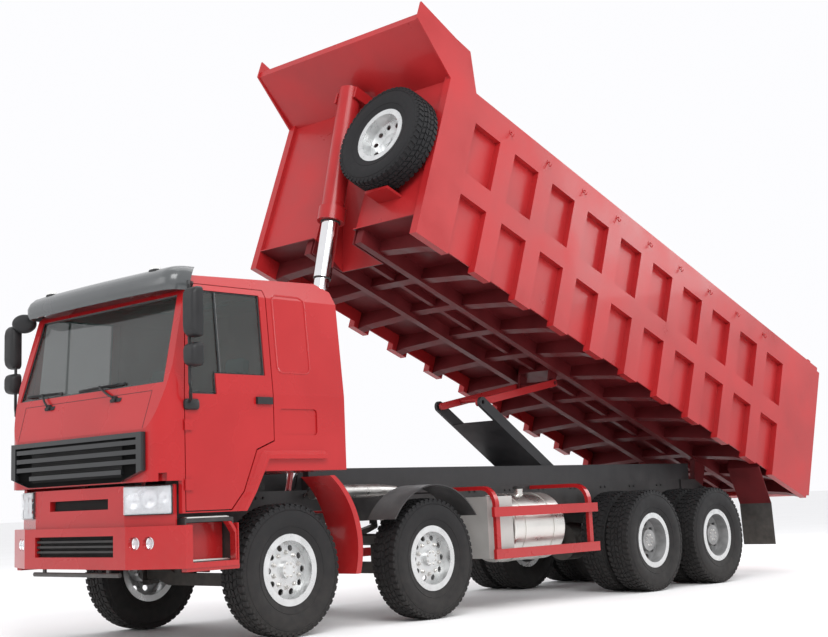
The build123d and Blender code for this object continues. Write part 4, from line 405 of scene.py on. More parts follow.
rubber = finish("tyre_rubber", (0.011, 0.011, 0.012), 0.74, specular=0.25, patches=(12.0, 0.25),
                grain=(260.0, 0.25), dust=(0.10, 1.2))
flap = finish("flap_rubber", (0.020, 0.020, 0.020), 0.66, patches=(4.0, 0.3), grain=(200.0, 0.2), dust=(0.5, 1.2))
silver = finish("rim_silver", (0.60, 0.61, 0.61), 0.33, metallic=0.75, patches=(10.0, 0.10), grain=(300.0, 0.06),
                dust=(0.25, 1.0))
dish_grey = finish("dish_grey_paint", (0.23, 0.23, 0.23), 0.5, specular=0.3, patches=(9.0, 0.3),
                   grain=(220.0, 0.2))
alloy = finish("tank_aluminium", (0.66, 0.65, 0.62), 0.30, metallic=0.95, patches=(3.0, 0.08), grain=(350.0, 0.05),
               dust=(0.15, 1.2))
box_grey = finish("box_grey_paint", (0.46, 0.45, 0.43), 0.42, metallic=0.4, patches=(3.0, 0.10),
                  grain=(250.0, 0.06), dust=(0.2, 1.2))
chrome = finish("chrome", (0.80, 0.80, 0.81), 0.08, metallic=1.0, patches=(4.0, 0.04), spread=0.04)
steel = finish("pipe_steel", (0.55, 0.54, 0.52), 0.32, metallic=0.9, grain=(200.0, 0.08))
lens = pane("lamp_lens", (0.75, 0.77, 0.80), 0.32)
glass = pane("window_glass", (0.035, 0.045, 0.042), 0.45)
lens_white = finish("marker_lens", (0.72, 0.72, 0.70), 0.14, coat=0.5, patches=(30.0, 0.12))
mirror_face = finish("mirror_face", (0.75, 0.77, 0.78), 0.04, metallic=1.0, patches=(6.0, 0.02), spread=0.02)
cloth = finish("seat_cloth", (0.085, 0.085, 0.095), 0.85, patches=(30.0, 0.2), grain=(700.0, 0.5))
trim = finish("dashboard_trim", (0.16, 0.16, 0.165), 0.6, patches=(6.0, 0.1), grain=(600.0, 0.2))
visor_grey = finish("visor_grey", (0.060, 0.064, 0.066), 0.24, coat=0.3, patches=(2.0, 0.08), spread=0.05)
# Near-black, almost unlit finish: painted shade on the grille's back plate and on the trays behind the front openings
painted_shade_black = finish("opening_painted_shade", (0.003, 0.003, 0.003), 0.8, specular=0.05, patches=(6.0, 0.3))
reflector = finish("lamp_reflector", (0.62, 0.63, 0.64), 0.16, metallic=0.9, patches=(40.0, 0.35), spread=0.10)
amber = finish("amber_lens", (0.75, 0.24, 0.02), 0.15, coat=0.5, patches=(6.0, 0.06), spread=0.05)
tail_red = finish("tail_lens", (0.50, 0.01, 0.01), 0.15, coat=0.5, patches=(6.0, 0.06), spread=0.05)
floor_paint = finish("floor_paint", (0.88, 0.88, 0.88), 0.8, patches=(0.5, 0.02))

# Finish of each CAD node
dressing = (
    (red, "side_guards cab_shell door_left door_right front_bumper"),
    (bed_red, "bed_tub tailgate hoist_barrel stabiliser_upper_link"),
    # The bed's underframe takes the darker red of painted shade
    (painted_shade_red, "bed_underframe"),
    (black, "chassis_frame subframe side_steps mudguards stabiliser_lower_link"),
    (iron, "front_axles drive_axles leaf_springs propshafts engine"),
    (plastic, "mirrors_left mirrors_right"),
    (gloss_black, "front_grille sun_visor lamps"),
    (glass, "windscreen door_glass_left door_glass_right"),
    (chrome, "hoist_stage_1 hoist_stage_2 hoist_stage_3 hoist_stage_4"),
    (alloy, "fuel_tank"), (box_grey, "side_boxes"), (steel, "exhaust"), (cloth, "seats"), (trim, "dashboard"),
    (flap, "bed_mudflaps"), (silver, "spare_rim"),
)
node_finish = {node: material for material, names in dressing for node in names.split()}


def dress_where(node, material, test):
    """Gives the faces of a node whose centre passes the test another finish."""
    mesh = nodes[node].data
    mesh.materials.append(material)
    for polygon in mesh.polygons:
        if test(polygon.center):
            polygon.material_index = len(mesh.materials) - 1


def bed_height(centre):
    """Height over the bed's frame line of a place on the raised bed."""
    return (centre.y - bed_pivot.y) * sin(bed_tilt) + (centre.z - bed_pivot.z) * cos(bed_tilt)


def ahead(distance):
    """The place along the truck that lies so far ahead of the first axle."""
    return axle_1_y - distance


for node in nodes:
    kind = silver if node.startswith("rim") else iron if node.startswith("knuckle") else rubber
    nodes[node].data.materials.clear()
    nodes[node].data.materials.append(node_finish.get(node, kind))

# Finishes that change within a node
# Painted shade: the grille's back plate behind the slats in near-black
dress_where("front_grille", painted_shade_black, lambda c: c.y > ahead(1.405) and abs(c.x) < 0.92)
dress_where("dashboard", plastic, lambda c: c.x > 0.2 and (c.z > 2.085 or c.y > ahead(0.80)))
# Painted shade in darker red: the underside of the bed's floor and the tops of the mud flaps under the raised bed
dress_where("bed_tub", painted_shade_red, lambda c: abs(c.x) < 1.155 and bed_height(c) < 0.505)
dress_where("bed_mudflaps", painted_shade_red, lambda c: c.z > 0.90)
dress_where("front_bumper", plastic, lambda c: abs(c.x) < 0.586 and 0.75 < c.z < 0.912)
dress_where("front_bumper", black, lambda c: c.z < 0.640)
dress_where("mudguards", red, lambda c: c.y < ahead(-0.76))
dress_where("lamps", reflector, lambda c: c.y < 0)
dress_where("lamps", tail_red, lambda c: c.y > 0)
for side, _ in sides:
    dress_where(f"door_{side}", plastic, lambda c: abs(c.x) > 1.197 and 1.90 < c.z < 2.10)

# Tyres

def tyre_profile():
    """Carcass outline of one tyre, as (offset along the axle, radius), from bead to bead."""
    base = tyre_radius - tread_depth
    half = [
        (0.112, bead_radius - 0.012), (0.121, bead_radius + 0.006), (0.137, 0.345), (0.149, 0.385),
        (tyre_half - 0.001, 0.425), (tyre_half - 0.001, 0.455), (0.152, 0.490), (0.144, 0.520),
        (0.131, base - 0.006), (0.118, base), (0.060, base + 0.003),
    ]
    return half + [(-x, r) for x, r in reversed(half)]


def tread_block(part, turn_a, turn_b, x_a, x_b, skew):
    """One tread block between two turns about the axle and two offsets along it, its ends slanted by skew."""
    points = []
    for depth, draft in ((tread_depth + 0.004, 0.0), (0.0, tread_draft)):
        for x, side in ((x_a, 1), (x_b, -1)):
            shift = skew * (x - x_a) / (x_b - x_a)
            radius = tyre_radius - depth - tread_crown * (x / tread_half) ** 2
            for turn, end in ((turn_a, 1), (turn_b, -1)):
                angle = turn + shift + end * draft / tyre_radius
                points.append((x + side * draft, radius * cos(angle), radius * sin(angle)))
    part.add(points, box_faces)


def tyre_mesh():
    """The shared tyre mesh: carcass, side ribs, tread blocks in five rows and shoulder lugs."""
    around = 96
    part = Builder()
    part.turned(tyre_profile(), around)
    for side in (-1, 1):
        # radius, height and offset along the axle of each side rib
        for radius, height, reach in ((0.365, 0.004, 0.143), (0.505, 0.005, 0.148)):
            part.turned([(side * (reach - 0.003), radius - 0.006), (side * (reach + height), radius),
                         (side * (reach - 0.003), radius + 0.006)], around)
    pitch = 2 * pi / tyre_pitches
    rows = (
        # inner offset, outer offset, share of the pitch, start share, skew
        (-0.018, 0.018, 0.86, 0.00, 0.25),
        (0.028, 0.068, 0.72, 0.10, -0.30),
        (-0.068, -0.028, 0.72, 0.40, -0.30),
        (0.079, 0.137, 0.66, 0.55, 0.18),
        (-0.137, -0.079, 0.66, 0.05, 0.18),
    )
    for step in range(tyre_pitches):
        for x_a, x_b, share, start, skew in rows:
            turn = pitch * (step + start)
            tread_block(part, turn, turn + pitch * share, x_a, x_b, pitch * skew)
    lug_share, lug_sunk, lug_height = 0.45, 0.003, 0.004
    for step in range(tyre_pitches):
        turn = pitch * (step + 0.2)
        for side in (-1, 1):
            lug = [(side * (reach + lift - lug_sunk), radius * cos(angle), radius * sin(angle))
                   for radius, reach in ((0.512, 0.1465), (0.540, 0.1400))
                   for angle in (turn, turn + pitch * lug_share) for lift in (0.0, lug_height)]
            part.add(lug, box_faces)
    return mesh_from("tyre_form", part.points, part.faces, rubber, tyre_sharp_angle)


tyre_form = tyre_mesh()


def place_tyre(name, body, place, turn, cad):
    """A tyre made from the shared mesh, in place of its CAD solid."""
    mesh = tyre_form.copy()
    mesh.name = name
    mesh.transform(place @ Matrix.Rotation(turn, 4, "X"))
    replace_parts(show(name, mesh, body), cad)


axles = (("wheel", "tyre", "rim", (1, 2), (front_track,)), ("wheels", "tyres", "rims", (3, 4), twin_places))
# Body, CAD nodes of its tyres and its rims, centre along the truck, offsets across it
wheel_table = [
    (f"{body}_{number}_{side}", f"{tyre}_{number}_{side}", f"{rim}_{number}_{side}",
     joints[f"{body}_{number}_{side}_spin"]["pos_m"][1], [sign * x for x in places])
    for body, tyre, rim, numbers, places in axles for number in numbers for side, sign in sides
]
for body, tyre, rim, y, offsets in wheel_table:
    for index, x in enumerate(offsets):
        place_tyre(f"tread_tyre_{body}_{index}", body, Matrix.Translation((x, y, wheel_centre_z)),
                   0.31 * index + 0.17 * y, tyre)
    if len(offsets) > 1:
        dress_where(rim, dish_grey, lambda c: hypot(c.y - y, c.z - tyre_radius) < rim_dish_radius)
spare_low, spare_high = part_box("spare_tyre")
spare_place = Matrix.Translation((spare_low + spare_high) / 2) @ Matrix.Rotation(-bed_tilt, 4, "X")
place_tyre("tread_spare_tyre", "bed", spare_place @ Matrix.Rotation(radians(-90), 4, "Z"), 0.0, "spare_tyre")

# Surfaces that pieces are laid on, and the direction from which the front is met

cab_surface = search_tree(nodes["cab_shell"].data)
screen_surface = search_tree(nodes["windscreen"].data)
lamp_surface = search_tree(nodes["lamps"].data)
dash_surface = search_tree(nodes["dashboard"].data)
from_front = (0, 1, 0)
front_start = ahead(3.0)
side_start = 2.0

# Window rubbers

seal_radius = 0.011
seal("windscreen_seal", "windscreen", lambda c, n: n.y < -0.2, (0, -1, 0.27), seal_radius, "cab")
for side, sign in sides:
    seal(f"door_window_seal_{side}", f"door_glass_{side}", lambda c, n: n.x * sign > 0.5, (sign, 0, 0),
         seal_radius, f"door_{side}_body")

# Quarter-light bar in each door window
bar_y = ahead(0.755)
bar_half = 0.011
bar_lift = 0.006
bar_low = 2.222
for side, sign in sides:
    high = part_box(f"door_glass_{side}")[1]
    tree = search_tree(nodes[f"door_glass_{side}"].data)
    rows = []
    for z in (bar_low, (bar_low + high.z) / 2, high.z - 0.012):
        place, _ = touch(tree, (sign * side_start, bar_y, z), (-sign, 0, 0))
        rows.append([(place.x + sign * bar_lift + sign * dx, bar_y + dy, z)
                     for dx, dy in round_outline(0.006, bar_half, 0.004, 2)])
    part = Builder()
    part.rings(rows)
    part.piece(f"door_window_bar_{side}", gloss_black, f"door_{side}_body")

# Sun visor: a rounded hood over the windscreen, in place of the plain plate

visor_levels = (
    # height, half width, front ahead of the axle, corner radius, rear end ahead of the axle
    (2.898, 1.128, 1.232, 0.13, 1.040),
    (2.935, 1.134, 1.246, 0.13, 1.035),
    (2.995, 1.134, 1.248, 0.13, 1.020),
    (3.045, 1.128, 1.225, 0.13, 1.000),
    (3.085, 1.108, 1.180, 0.12, 0.970),
    (3.112, 1.070, 1.110, 0.10, 0.930),
    (3.118, 1.020, 1.030, 0.08, 0.900),
    (3.098, 0.960, 0.945, 0.03, 0.880),
)
visor_sheet = 0.012
visor_bow = 0.030
visor_corner_steps = 6
visor_front_steps = 10
visor_flat_ahead = 1.2


def visor_row(level, inset):
    """One level of the hood, from its left rear end round the front to its right rear end."""
    height, half, front, corner, rear = level
    half -= inset
    front -= inset
    turns = [pi / 2 * step / visor_corner_steps for step in range(visor_corner_steps + 1)]
    row = [(half, ahead(rear), height)]
    row += [(half - corner + corner * cos(t), ahead(front - corner + corner * sin(t)), height) for t in turns]
    for step in range(1, visor_front_steps):
        x = (half - corner) * (1 - 2 * step / visor_front_steps)
        row.append((x, ahead(front + visor_bow * (1 - (x / (half - corner)) ** 2)), height))
    row += [(-half + corner - corner * cos(t), ahead(front - corner + corner * sin(t)), height)
            for t in reversed(turns)]
    return row + [(-half, ahead(rear), height)]


grid = [visor_row(level, 0.0) for level in visor_levels]
grid += [visor_row((level[0] - (visor_sheet if level[2] < visor_flat_ahead else 0.0), *level[1:]), visor_sheet)
         for level in reversed(visor_levels)]
size = len(grid[0])
faces = []
for index, after in neighbours(len(grid)):
    faces += [(index * size + k, index * size + k + 1, after * size + k + 1, after * size + k)
              for k in range(size - 1)]
for index in range(len(visor_levels) - 1):
    partner = len(grid) - 1 - index
    faces += [(index * size + k, (index + 1) * size + k, (partner - 1) * size + k, partner * size + k)
              for k in (0, size - 1)]
part = Builder()
part.add([p for row in grid for p in row], faces)
visor = part.piece("visor_hood", visor_grey, "cab")
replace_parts(visor, "sun_visor")

# Marker lamps on the visor
visor_surface = search_tree(visor.data)
marker_x, marker_ahead = 0.80, 1.14
markers, feet = Builder(), Builder()
# half width, half length, foot and top over the visor
marker_forms = ((feet, 0.058, 0.036, -0.012, 0.010), (markers, 0.050, 0.029, 0.006, 0.036))
for x in (-marker_x, marker_x):
    place, _ = touch(visor_surface, (x, ahead(marker_ahead), 4.0), (0, 0, -1))
    for part, half_x, half_y, base, top in marker_forms:
        part.pad([(base + (top - base) * share, half_x * shrink, half_y * shrink, half_y * 0.6 * shrink)
                  for share, shrink in ((0.0, 1.0), (0.55, 0.97), (0.85, 0.84), (1.0, 0.60))],
                 lambda a, b, depth: (place.x + a, place.y + b, place.z + depth), 4)
feet.piece("marker_lamp_feet", plastic, "cab")
markers.piece("marker_lamps", lens_white, "cab", "lamp")

# Wipers: two blades parked along the bottom of the windscreen

blade_steps = 8
wiper_table = (
    # name, spindle across, spindle height, blade from, blade to, blade heights
    ("near", 0.468, 2.040, -0.150, 0.530, 2.150, 2.165),
    ("far", -0.550, 2.045, -1.000, -0.420, 2.170, 2.160),
)
for name, spindle_x, spindle_z, blade_a, blade_b, z_a, z_b in wiper_table:
    part = Builder()
    points = []
    for share in (step / blade_steps for step in range(blade_steps + 1)):
        place, _ = touch(screen_surface, (blade_a + (blade_b - blade_a) * share, front_start,
                                          z_a + (z_b - z_a) * share), from_front)
        points.append(place + Vector((0, -0.012, 0.003)))
    part.rings([[(point.x, point.y + a, point.z + b) for a, b in round_outline(0.006, 0.011, 0.004, 2)]
                for point in points])
    spine = [p + Vector((0, -0.012 - 0.010 * sin(pi * i / blade_steps), 0.004)) for i, p in enumerate(points)]
    part.tube(spine[1:-1], 0.006, 8)
    base, _ = touch(cab_surface, (spindle_x, front_start, spindle_z), from_front)
    middle = points[blade_steps // 2] + Vector((0, -0.030, 0.006))
    part.tube([base + Vector((0, -0.020, 0)), base + Vector((0, -0.034, 0.010)),
               base.lerp(middle, 0.35) + Vector((0, -0.030, 0.004)),
               base.lerp(middle, 0.75) + Vector((0, -0.012, 0)), middle], 0.010, 8)
    part.disc(-0.006, 0.034, 0.024, 20, turned_to(base, -90), 0.006)
    part.pad([(0.0, 0.085, 0.020, 0.010), (-0.020, 0.070, 0.013, 0.010)],
             lambda a, b, depth: (base.x + a, base.y + 0.004 + depth, base.z - 0.012 + b), 3)
    part.piece(f"wiper_{name}", plastic, "cab")

# Door mirrors and the oval kerb mirror

post_y = ahead(1.195)
mirror_table = (
    # low, high, inner and outer ends across the truck
    (2.470, 2.880, 1.302, 1.462),
    (2.235, 2.425, 1.302, 1.458),
)
housing_levels = (
    # place along the truck from the post, share of the full size
    (-0.062, 0.55), (-0.058, 0.72), (-0.045, 0.88), (-0.020, 0.97), (0.010, 1.0), (0.044, 1.0), (0.047, 0.97),
    (0.041, 0.95),
)
for side, sign in sides:
    housing, face = Builder(), Builder()

    def mirror_spot(a, b, depth):
        return sign * (middle_x + a), post_y + depth, middle_z + b

    for low, high, x_in, x_out in mirror_table:
        middle_x, middle_z = (x_in + x_out) / 2, (low + high) / 2
        half_x, half_z = (x_out - x_in) / 2, (high - low) / 2
        housing.pad([(back, half_x * shrink, half_z * shrink + (shrink - 1) * 0.02,
                      0.040 * min(shrink + 0.1, 1.0)) for back, shrink in housing_levels], mirror_spot, 5)
        face.pad([(back, half_x * 0.90, half_z * 0.92, 0.032) for back in (0.036, 0.046)], mirror_spot, 5)
    post_x, door_x = sign * 1.330, sign * 1.196
    housing.tube([(sign * 1.112, ahead(1.000), 2.940), (sign * 1.20, ahead(1.06), 2.948),
                  (post_x - sign * 0.03, post_y + 0.02, 2.935), (post_x, post_y, 2.905), (post_x, post_y, 2.60),
                  (post_x, post_y, 2.30), (post_x, post_y, 2.10), (post_x, post_y + 0.004, 2.03),
                  (post_x - sign * 0.05, ahead(1.150), 1.985), (door_x, ahead(1.105), 1.955)], 0.014)
    housing.rings([[(door_x + sign * reach, ahead(1.085) + a * shrink, 1.945 + b * shrink)
                    for a, b in round_outline(0.075, 0.045, 0.030, 5)]
                   for reach, shrink in ((-0.004, 1.0), (0.016, 1.0), (0.030, 0.85), (0.038, 0.55))])
    housing = housing.piece(f"mirror_housings_{side}", plastic, f"door_{side}_body")
    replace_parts(housing, f"mirrors_{side}")
    face.piece(f"mirror_glass_{side}", mirror_face, f"door_{side}_body", "chrome")

kerb_turn = turned_to(Vector((-1.235, ahead(1.165), 2.885)), 38) @ Matrix.Rotation(radians(20), 4, "X")


def oval_rings(part, half_x, half_z, levels):
    """An oval skin in the kerb mirror's frame, through (depth, share of its size) levels."""
    part.rings([[kerb_turn @ Vector((half_x * shrink * cos(t), depth, half_z * shrink * sin(t)))
                 for t in circle(28)] for depth, shrink in levels])


part = Builder()
oval_rings(part, 0.118, 0.090, ((-0.050, 0.30), (-0.044, 0.62), (-0.028, 0.88), (-0.006, 1.0), (0.012, 1.0),
                                (0.016, 0.93)))
part.tube([(-1.045, ahead(1.06), 2.985), (-1.10, ahead(1.13), 2.975), (-1.17, ahead(1.17), 2.935),
           kerb_turn @ Vector((0.02, -0.03, 0.02))], 0.011)
part.piece("kerb_mirror", plastic, "cab")
part = Builder()
oval_rings(part, 0.104, 0.078, ((0.008, 1.0), (0.019, 1.0)))
part.piece("kerb_mirror_glass", mirror_face, "cab", "chrome")

# Headlamps and fog lamps

head_low, head_high = 1.075, 1.306
head_lamps = ((0.775, 1.185, 0.066), (0.925, 1.195, 0.074), (1.055, 1.205, 0.048))
fog_lamp_places = (0.835, 0.960)
fog_lamp_height = 0.850


def headlamp_front(centre, normal):
    return head_low < centre.z < head_high and centre.y < ahead(1.0) and normal.y < -0.25


skin("headlamp_lenses", "lamps", headlamp_front, 0.016, 0.003, lens, "chassis")
seal("headlamp_rims", "lamps", headlamp_front, (0, -1, 0), 0.007, "chassis")
bowls, bulbs, fog_bowls = Builder(), Builder(), Builder()
for sign in (-1, 1):
    for x, z, radius in head_lamps:
        turn = standing(*touch(lamp_surface, (sign * x, front_start, z), from_front))
        bowls.turned([(0.000, radius), (0.013, radius), (0.014, radius * 0.94), (0.008, radius * 0.72),
                      (0.004, radius * 0.45), (0.002, 0.014), (-0.004, 0.014), (-0.004, radius)], 32, turn)
        bulbs.disc(-0.002, 0.011, 0.013, 16, turn, 0.005)
    for x in fog_lamp_places:
        turn = standing(*touch(lamp_surface, (sign * x, front_start, fog_lamp_height), from_front))
        fog_bowls.turned([(0.000, 0.049), (0.012, 0.049), (0.013, 0.044), (0.006, 0.030), (0.002, 0.010),
                          (-0.003, 0.010), (-0.003, 0.049)], 28, turn)
bowls.piece("headlamp_reflectors", chrome, "chassis", "chrome")
bulbs.piece("headlamp_bulbs", lens, "chassis", "lamp")
skin("fog_lamp_lenses", "lamps", lambda c, n: 0.78 < c.z < 0.92 and c.y < ahead(1.0) and n.y < -0.6,
     0.008, 0.003, lens, "chassis")
fog_bowls.piece("fog_lamp_reflectors", chrome, "chassis", "chrome")

# Mesh behind the openings of the bumper, its upper panel and the grille

def wire_field(part, half_x, low, high, pitch, wire, y):
    """Crossing slanted wires over a rectangle, each cut to its edges."""
    height = high - low
    for lean in (1, -1):
        for step in range(int((2 * half_x + height) / pitch) + 1):
            foot = -half_x - height + step * pitch
            a = max(foot, -half_x)
            b = min(foot + height, half_x)
            if b - a >= 2 * wire:
                part.tube([(lean * a, y, low + (a - foot)), (lean * b, y, low + (b - foot))], wire, 5, from_front)


bumper_front, panel_front, grille_front = ahead(1.430), ahead(1.375), ahead(1.390)
part = Builder()
wire_field(part, 0.588, 0.746, 0.914, 0.028, 0.0028, bumper_front + 0.046)
wire_field(part, 0.438, 1.131, 1.214, 0.024, 0.0025, panel_front + 0.050)
part.piece("bumper_mesh", plastic, "chassis")
part = Builder()
wire_field(part, 0.690, 1.385, 1.690, 0.030, 0.0028, grille_front - 0.016)
part.piece("grille_mesh", plastic, "cab")

# Frame round each step well, with ribbed treads

step_front, step_rear = 1.200, 0.668
step_bottom = ((1.196, 0.618), (1.262, 0.618), (1.268, 0.628), (1.268, 0.655), (1.258, 0.662), (1.196, 0.662))
step_upright = ((1.196, 0.0), (1.262, 0.0), (1.268, 0.006), (1.268, 0.030), (1.262, 0.036), (1.196, 0.036))
tread_ridges = 7
tread_edge = 0.012
for side, sign in sides:
    part = Builder()
    part.rings([[(sign * x, ahead(y), z) for x, z in step_bottom] for y in (step_front, step_rear)])
    # height of each level of the upright, and how far it leans forward there
    part.rings([[(sign * a, ahead(step_rear) - 0.036 + b - lean, z) for a, b in step_upright]
                for z, lean in ((0.660, 0.0), (0.900, 0.0), (0.965, 0.045), (0.998, 0.075))])
    part.box((sign * 1.060, ahead(step_front), 0.700), (sign * 1.072, ahead(step_rear + 0.02), 0.994))
    part.piece(f"step_frame_{side}", red, "chassis", "red_paint")
    treads = Builder()
    for height, x_in, x_out in ((0.694, 1.075, 1.192), (1.034, 1.085, 1.192)):
        treads.box((sign * x_in, ahead(step_front - 0.06), height), (sign * x_out, ahead(0.71), height + 0.006))
        for step in range(tread_ridges):
            x = x_in + tread_edge + (x_out - x_in - 2 * tread_edge) * step / (tread_ridges - 1)
            treads.rings([[(sign * (x + a), ahead(y), height + 0.005 + b)
                           for a, b in ((-0.004, 0.0), (0.004, 0.0), (0.002, 0.005), (-0.002, 0.005))]
                          for y in (step_front - 0.07, 0.72)])
    treads.piece(f"step_treads_{side}", alloy, "chassis", "steel")

# Wheel nuts, hub bolts and valves

nut_rings = (
    # count, radius of their circle, radius and height of each
    (10, 0.146, 0.0165, 0.022),
    (8, 0.058, 0.009, 0.008),
)
valve_radius = 0.228
valve_path = ((-0.004, 0), (0.020, 0.004), (0.034, 0.016))
for body, _, rim, y, offsets in wheel_table:
    sign = copysign(1, offsets[0])
    tree = search_tree(nodes[rim].data)
    part = Builder()
    for count, around, radius, height in nut_rings:
        for turn in circle(count, 0.5):
            start = (sign * side_start, y + around * cos(turn), wheel_centre_z + around * sin(turn))
            place, normal = touch(tree, start, (-sign, 0, 0))
            if abs(normal.x) > 0.5:
                seat = turned_to(place, 0 if sign > 0 else 180)
                part.nut(seat @ Matrix.Rotation(turn, 4, "X"), radius, height)
    place, _ = touch(tree, (sign * side_start, y, wheel_centre_z + valve_radius), (-sign, 0, 0))
    part.tube([place + Vector((sign * out, 0, rise)) for out, rise in valve_path], 0.005, 8)
    part.piece(f"wheel_nuts_{body}", steel, body, "steel")

# Seats: cushions, backs and headrests on plinths, in place of the plain solids

def squared(value, power):
    """A sine or cosine pushed toward its ends, which squares a circle's outline."""
    return copysign(abs(value) ** power, value)


def cushion(name, place, half, channels=3):
    """A stuffed pad: full in the middle, pulled in between its corners, with sewn channels on its local top."""
    across, around = 36, 24
    power, plump, pull_in, groove_depth, groove_width, groove_reach = 0.32, 0.012, 0.035, 0.010, 0.055, 0.62
    rows = []
    for row in range(around + 1):
        lift = pi * (row / around - 0.5)
        flat = abs(cos(lift)) ** power
        z = squared(sin(lift), power)
        rows.append([])
        for turn in circle(across):
            x, y = flat * squared(cos(turn), power), flat * squared(sin(turn), power)
            pull = 1 - pull_in * (x * x * (1 - y * y) + y * y * (1 - x * x))
            crown = plump * (1 - x * x) * (1 - y * y) if z > 0 else 0.0
            groove = 0.0
            if z > 0.5:
                for channel in range(channels):
                    line = -groove_reach + 2 * groove_reach * channel / max(channels - 1, 1)
                    groove = max(groove, groove_depth * exp(-((y - line) / groove_width) ** 2) * (1 - x ** 4))
            spot = Vector((x * half[0] * pull, y * half[1] * pull, z * half[2] + crown - groove))
            rows[-1].append(place @ spot)
    part, piping = Builder(), Builder()
    part.rings(rows)
    piece = part.piece(name, cloth, "cab", "seat_cloth")
    piping.tube([place @ Vector((half[0] * squared(cos(t), power) * 0.995, half[1] * squared(sin(t), power) * 0.995,
                                 half[2] * 0.55)) for t in circle(40, 0.5)],
                0.004, 6, place.to_3x3() @ Vector((0, 0, 1)), closed=True)
    piping.piece(f"{name}_piping", plastic, "cab", "seat_cloth")
    return piece


seat_x, seat_y = 0.560, ahead(0.380)
seat_rake = radians(9)
plinth_levels = (
    # height, half width, half length, corner radius
    (1.442, 0.20, 0.19, 0.04), (1.460, 0.20, 0.19, 0.04), (1.500, 0.15, 0.16, 0.04), (1.590, 0.15, 0.16, 0.04),
    (1.615, 0.21, 0.20, 0.04), (1.628, 0.21, 0.20, 0.04),
)
for side, sign in sides:
    pad = cushion(f"seat_cushion_{side}", Matrix.Translation((sign * seat_x, seat_y, 1.690)), (0.235, 0.225, 0.062))
    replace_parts(pad, "seats")
    lean = Matrix.Translation((sign * seat_x, seat_y + 0.215, 1.760)) @ Matrix.Rotation(
        radians(90) - seat_rake, 4, "X")
    cushion(f"seat_back_{side}", lean @ Matrix.Translation((0, 0.265, 0.0)), (0.230, 0.255, 0.052))
    cushion(f"seat_headrest_{side}", lean @ Matrix.Translation((0, 0.590, 0.0)), (0.130, 0.075, 0.045), 1)
    part = Builder()
    for x in (-0.06, 0.06):
        part.tube([lean @ Vector((x, 0.48, 0.0)), lean @ Vector((x, 0.56, 0.0))], 0.007, 8)
    part.pad(plinth_levels, lambda a, b, z: (sign * seat_x + a, seat_y + b, z), 4)
    part.piece(f"seat_plinth_{side}", plastic, "cab")

# Bolts in pairs along the frame rails

rail_side = 0.430
bolt_first, bolt_last = ahead(0.95), ahead(-7.45)
part = Builder()
for sign in (-1, 1):
    step, y = 0, bolt_first
    while y < bolt_last:
        if step % 4 < 2:
            for z in (0.990, 1.180):
                part.disc(-0.001, 0.012, 0.014, 6, turned_to((sign * rail_side, y, z), 0 if sign > 0 else 180), 0.003)
        y += 0.085 if step % 2 == 0 else 0.21
        step += 1
part.piece("rail_bolts", iron, "chassis", "black_paint")

# Radiator between the rails, and near-black trays behind the front openings: painted shade in the openings

part = Builder()
core_half, core_front, core_depth = 0.335, ahead(1.045), 0.075
core_low, core_high = 0.700, 1.365
fin_count, fin_half, fin_margin = 46, 0.0015, 0.03
part.pad([(y, core_half, (core_high - core_low) / 2, 0.02) for y in (0.0, core_depth)],
         lambda a, b, y: (a, core_front + y, (core_low + core_high) / 2 + b), 3)
for step in range(fin_count):
    z = core_low + fin_margin + (core_high - core_low - 2 * fin_margin) * step / (fin_count - 1)
    part.box((-core_half + fin_margin, core_front - 0.006, z - fin_half),
             (core_half - fin_margin, core_front, z + fin_half))
for sign in (-1, 1):
    part.box((sign * (core_half - 0.004), core_front, core_low + 0.02),
             (sign * (core_half + 0.012), core_front + core_depth, core_high - 0.02))
part.piece("radiator_core", iron, "chassis", "iron")

# Trays in near-black behind the bumper and panel openings: painted shade
part = Builder()
for half, low, high, y in ((0.640, 0.715, 0.945, bumper_front + 0.062), (0.480, 1.105, 1.240, panel_front + 0.062)):
    part.pad([(depth, half, (high - low) / 2, 0.015) for depth in (0.0, 0.006)],
             lambda a, b, depth: (a, y + depth, (low + high) / 2 + b), 3)
part.piece("front_opening_shade_trays", painted_shade_black, "chassis")

# Seams round the nose flap, laid on the cab's skin

flap_half, flap_low, flap_high, flap_taper = 0.965, 1.765, 2.070, 0.02
side_steps, top_steps = 8, 16
seams = [[(sign * (flap_half - flap_taper * k / side_steps), flap_high - (flap_high - flap_low) * k / side_steps)
          for k in range(side_steps + 1)] for sign in (-1, 1)]
seams.append([(flap_half * (1 - 2 * k / top_steps), flap_high) for k in range(top_steps + 1)])
part = Builder()
for seam in seams:
    part.tube([touch(cab_surface, (x, ahead(2.3), z), from_front)[0] for x, z in seam], 0.0024, 6)
part.piece("nose_flap_seams", plastic, "cab")

# Pressed borders of the blank panels in the cab's sides

border_y, border_z = ahead(-0.065), 2.5875
border_half_y, border_half_z, border_sunk = 0.190, 0.3425, 0.004
for side, sign in sides:
    part = Builder()
    part.tube([touch(cab_surface, (sign * side_start, border_y + a, border_z + b), (-sign, 0, 0))[0]
               - Vector((sign * border_sunk, 0, 0))
               for a, b in round_outline(border_half_y, border_half_z, 0.06)], 0.011, 8, (sign, 0, 0), closed=True)
    part.piece(f"cab_side_border_{side}", red, "cab", "red_paint")

# Fuel tank cap with grips round its edge

tank_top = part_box("fuel_tank")[1].z
neck = [v.co for v in nodes["fuel_tank"].data.vertices if v.co.z > tank_top - 0.001]
top = sum(neck, Vector()) / len(neck)
cap_radius = 0.055
part = Builder()
part.disc(-0.002, 0.030, cap_radius, 28, turned_to(top, -90, "Y"), 0.010)
for turn in circle(14):
    spot = top + Vector(((cap_radius + 0.0005) * cos(turn), (cap_radius + 0.0005) * sin(turn), 0.012))
    part.disc(-0.010, 0.010, 0.005, 6, turned_to(spot, -90, "Y"), 0.002)
part.piece("tank_cap", plastic, "chassis")

# Tail lamps: three lenses on each box

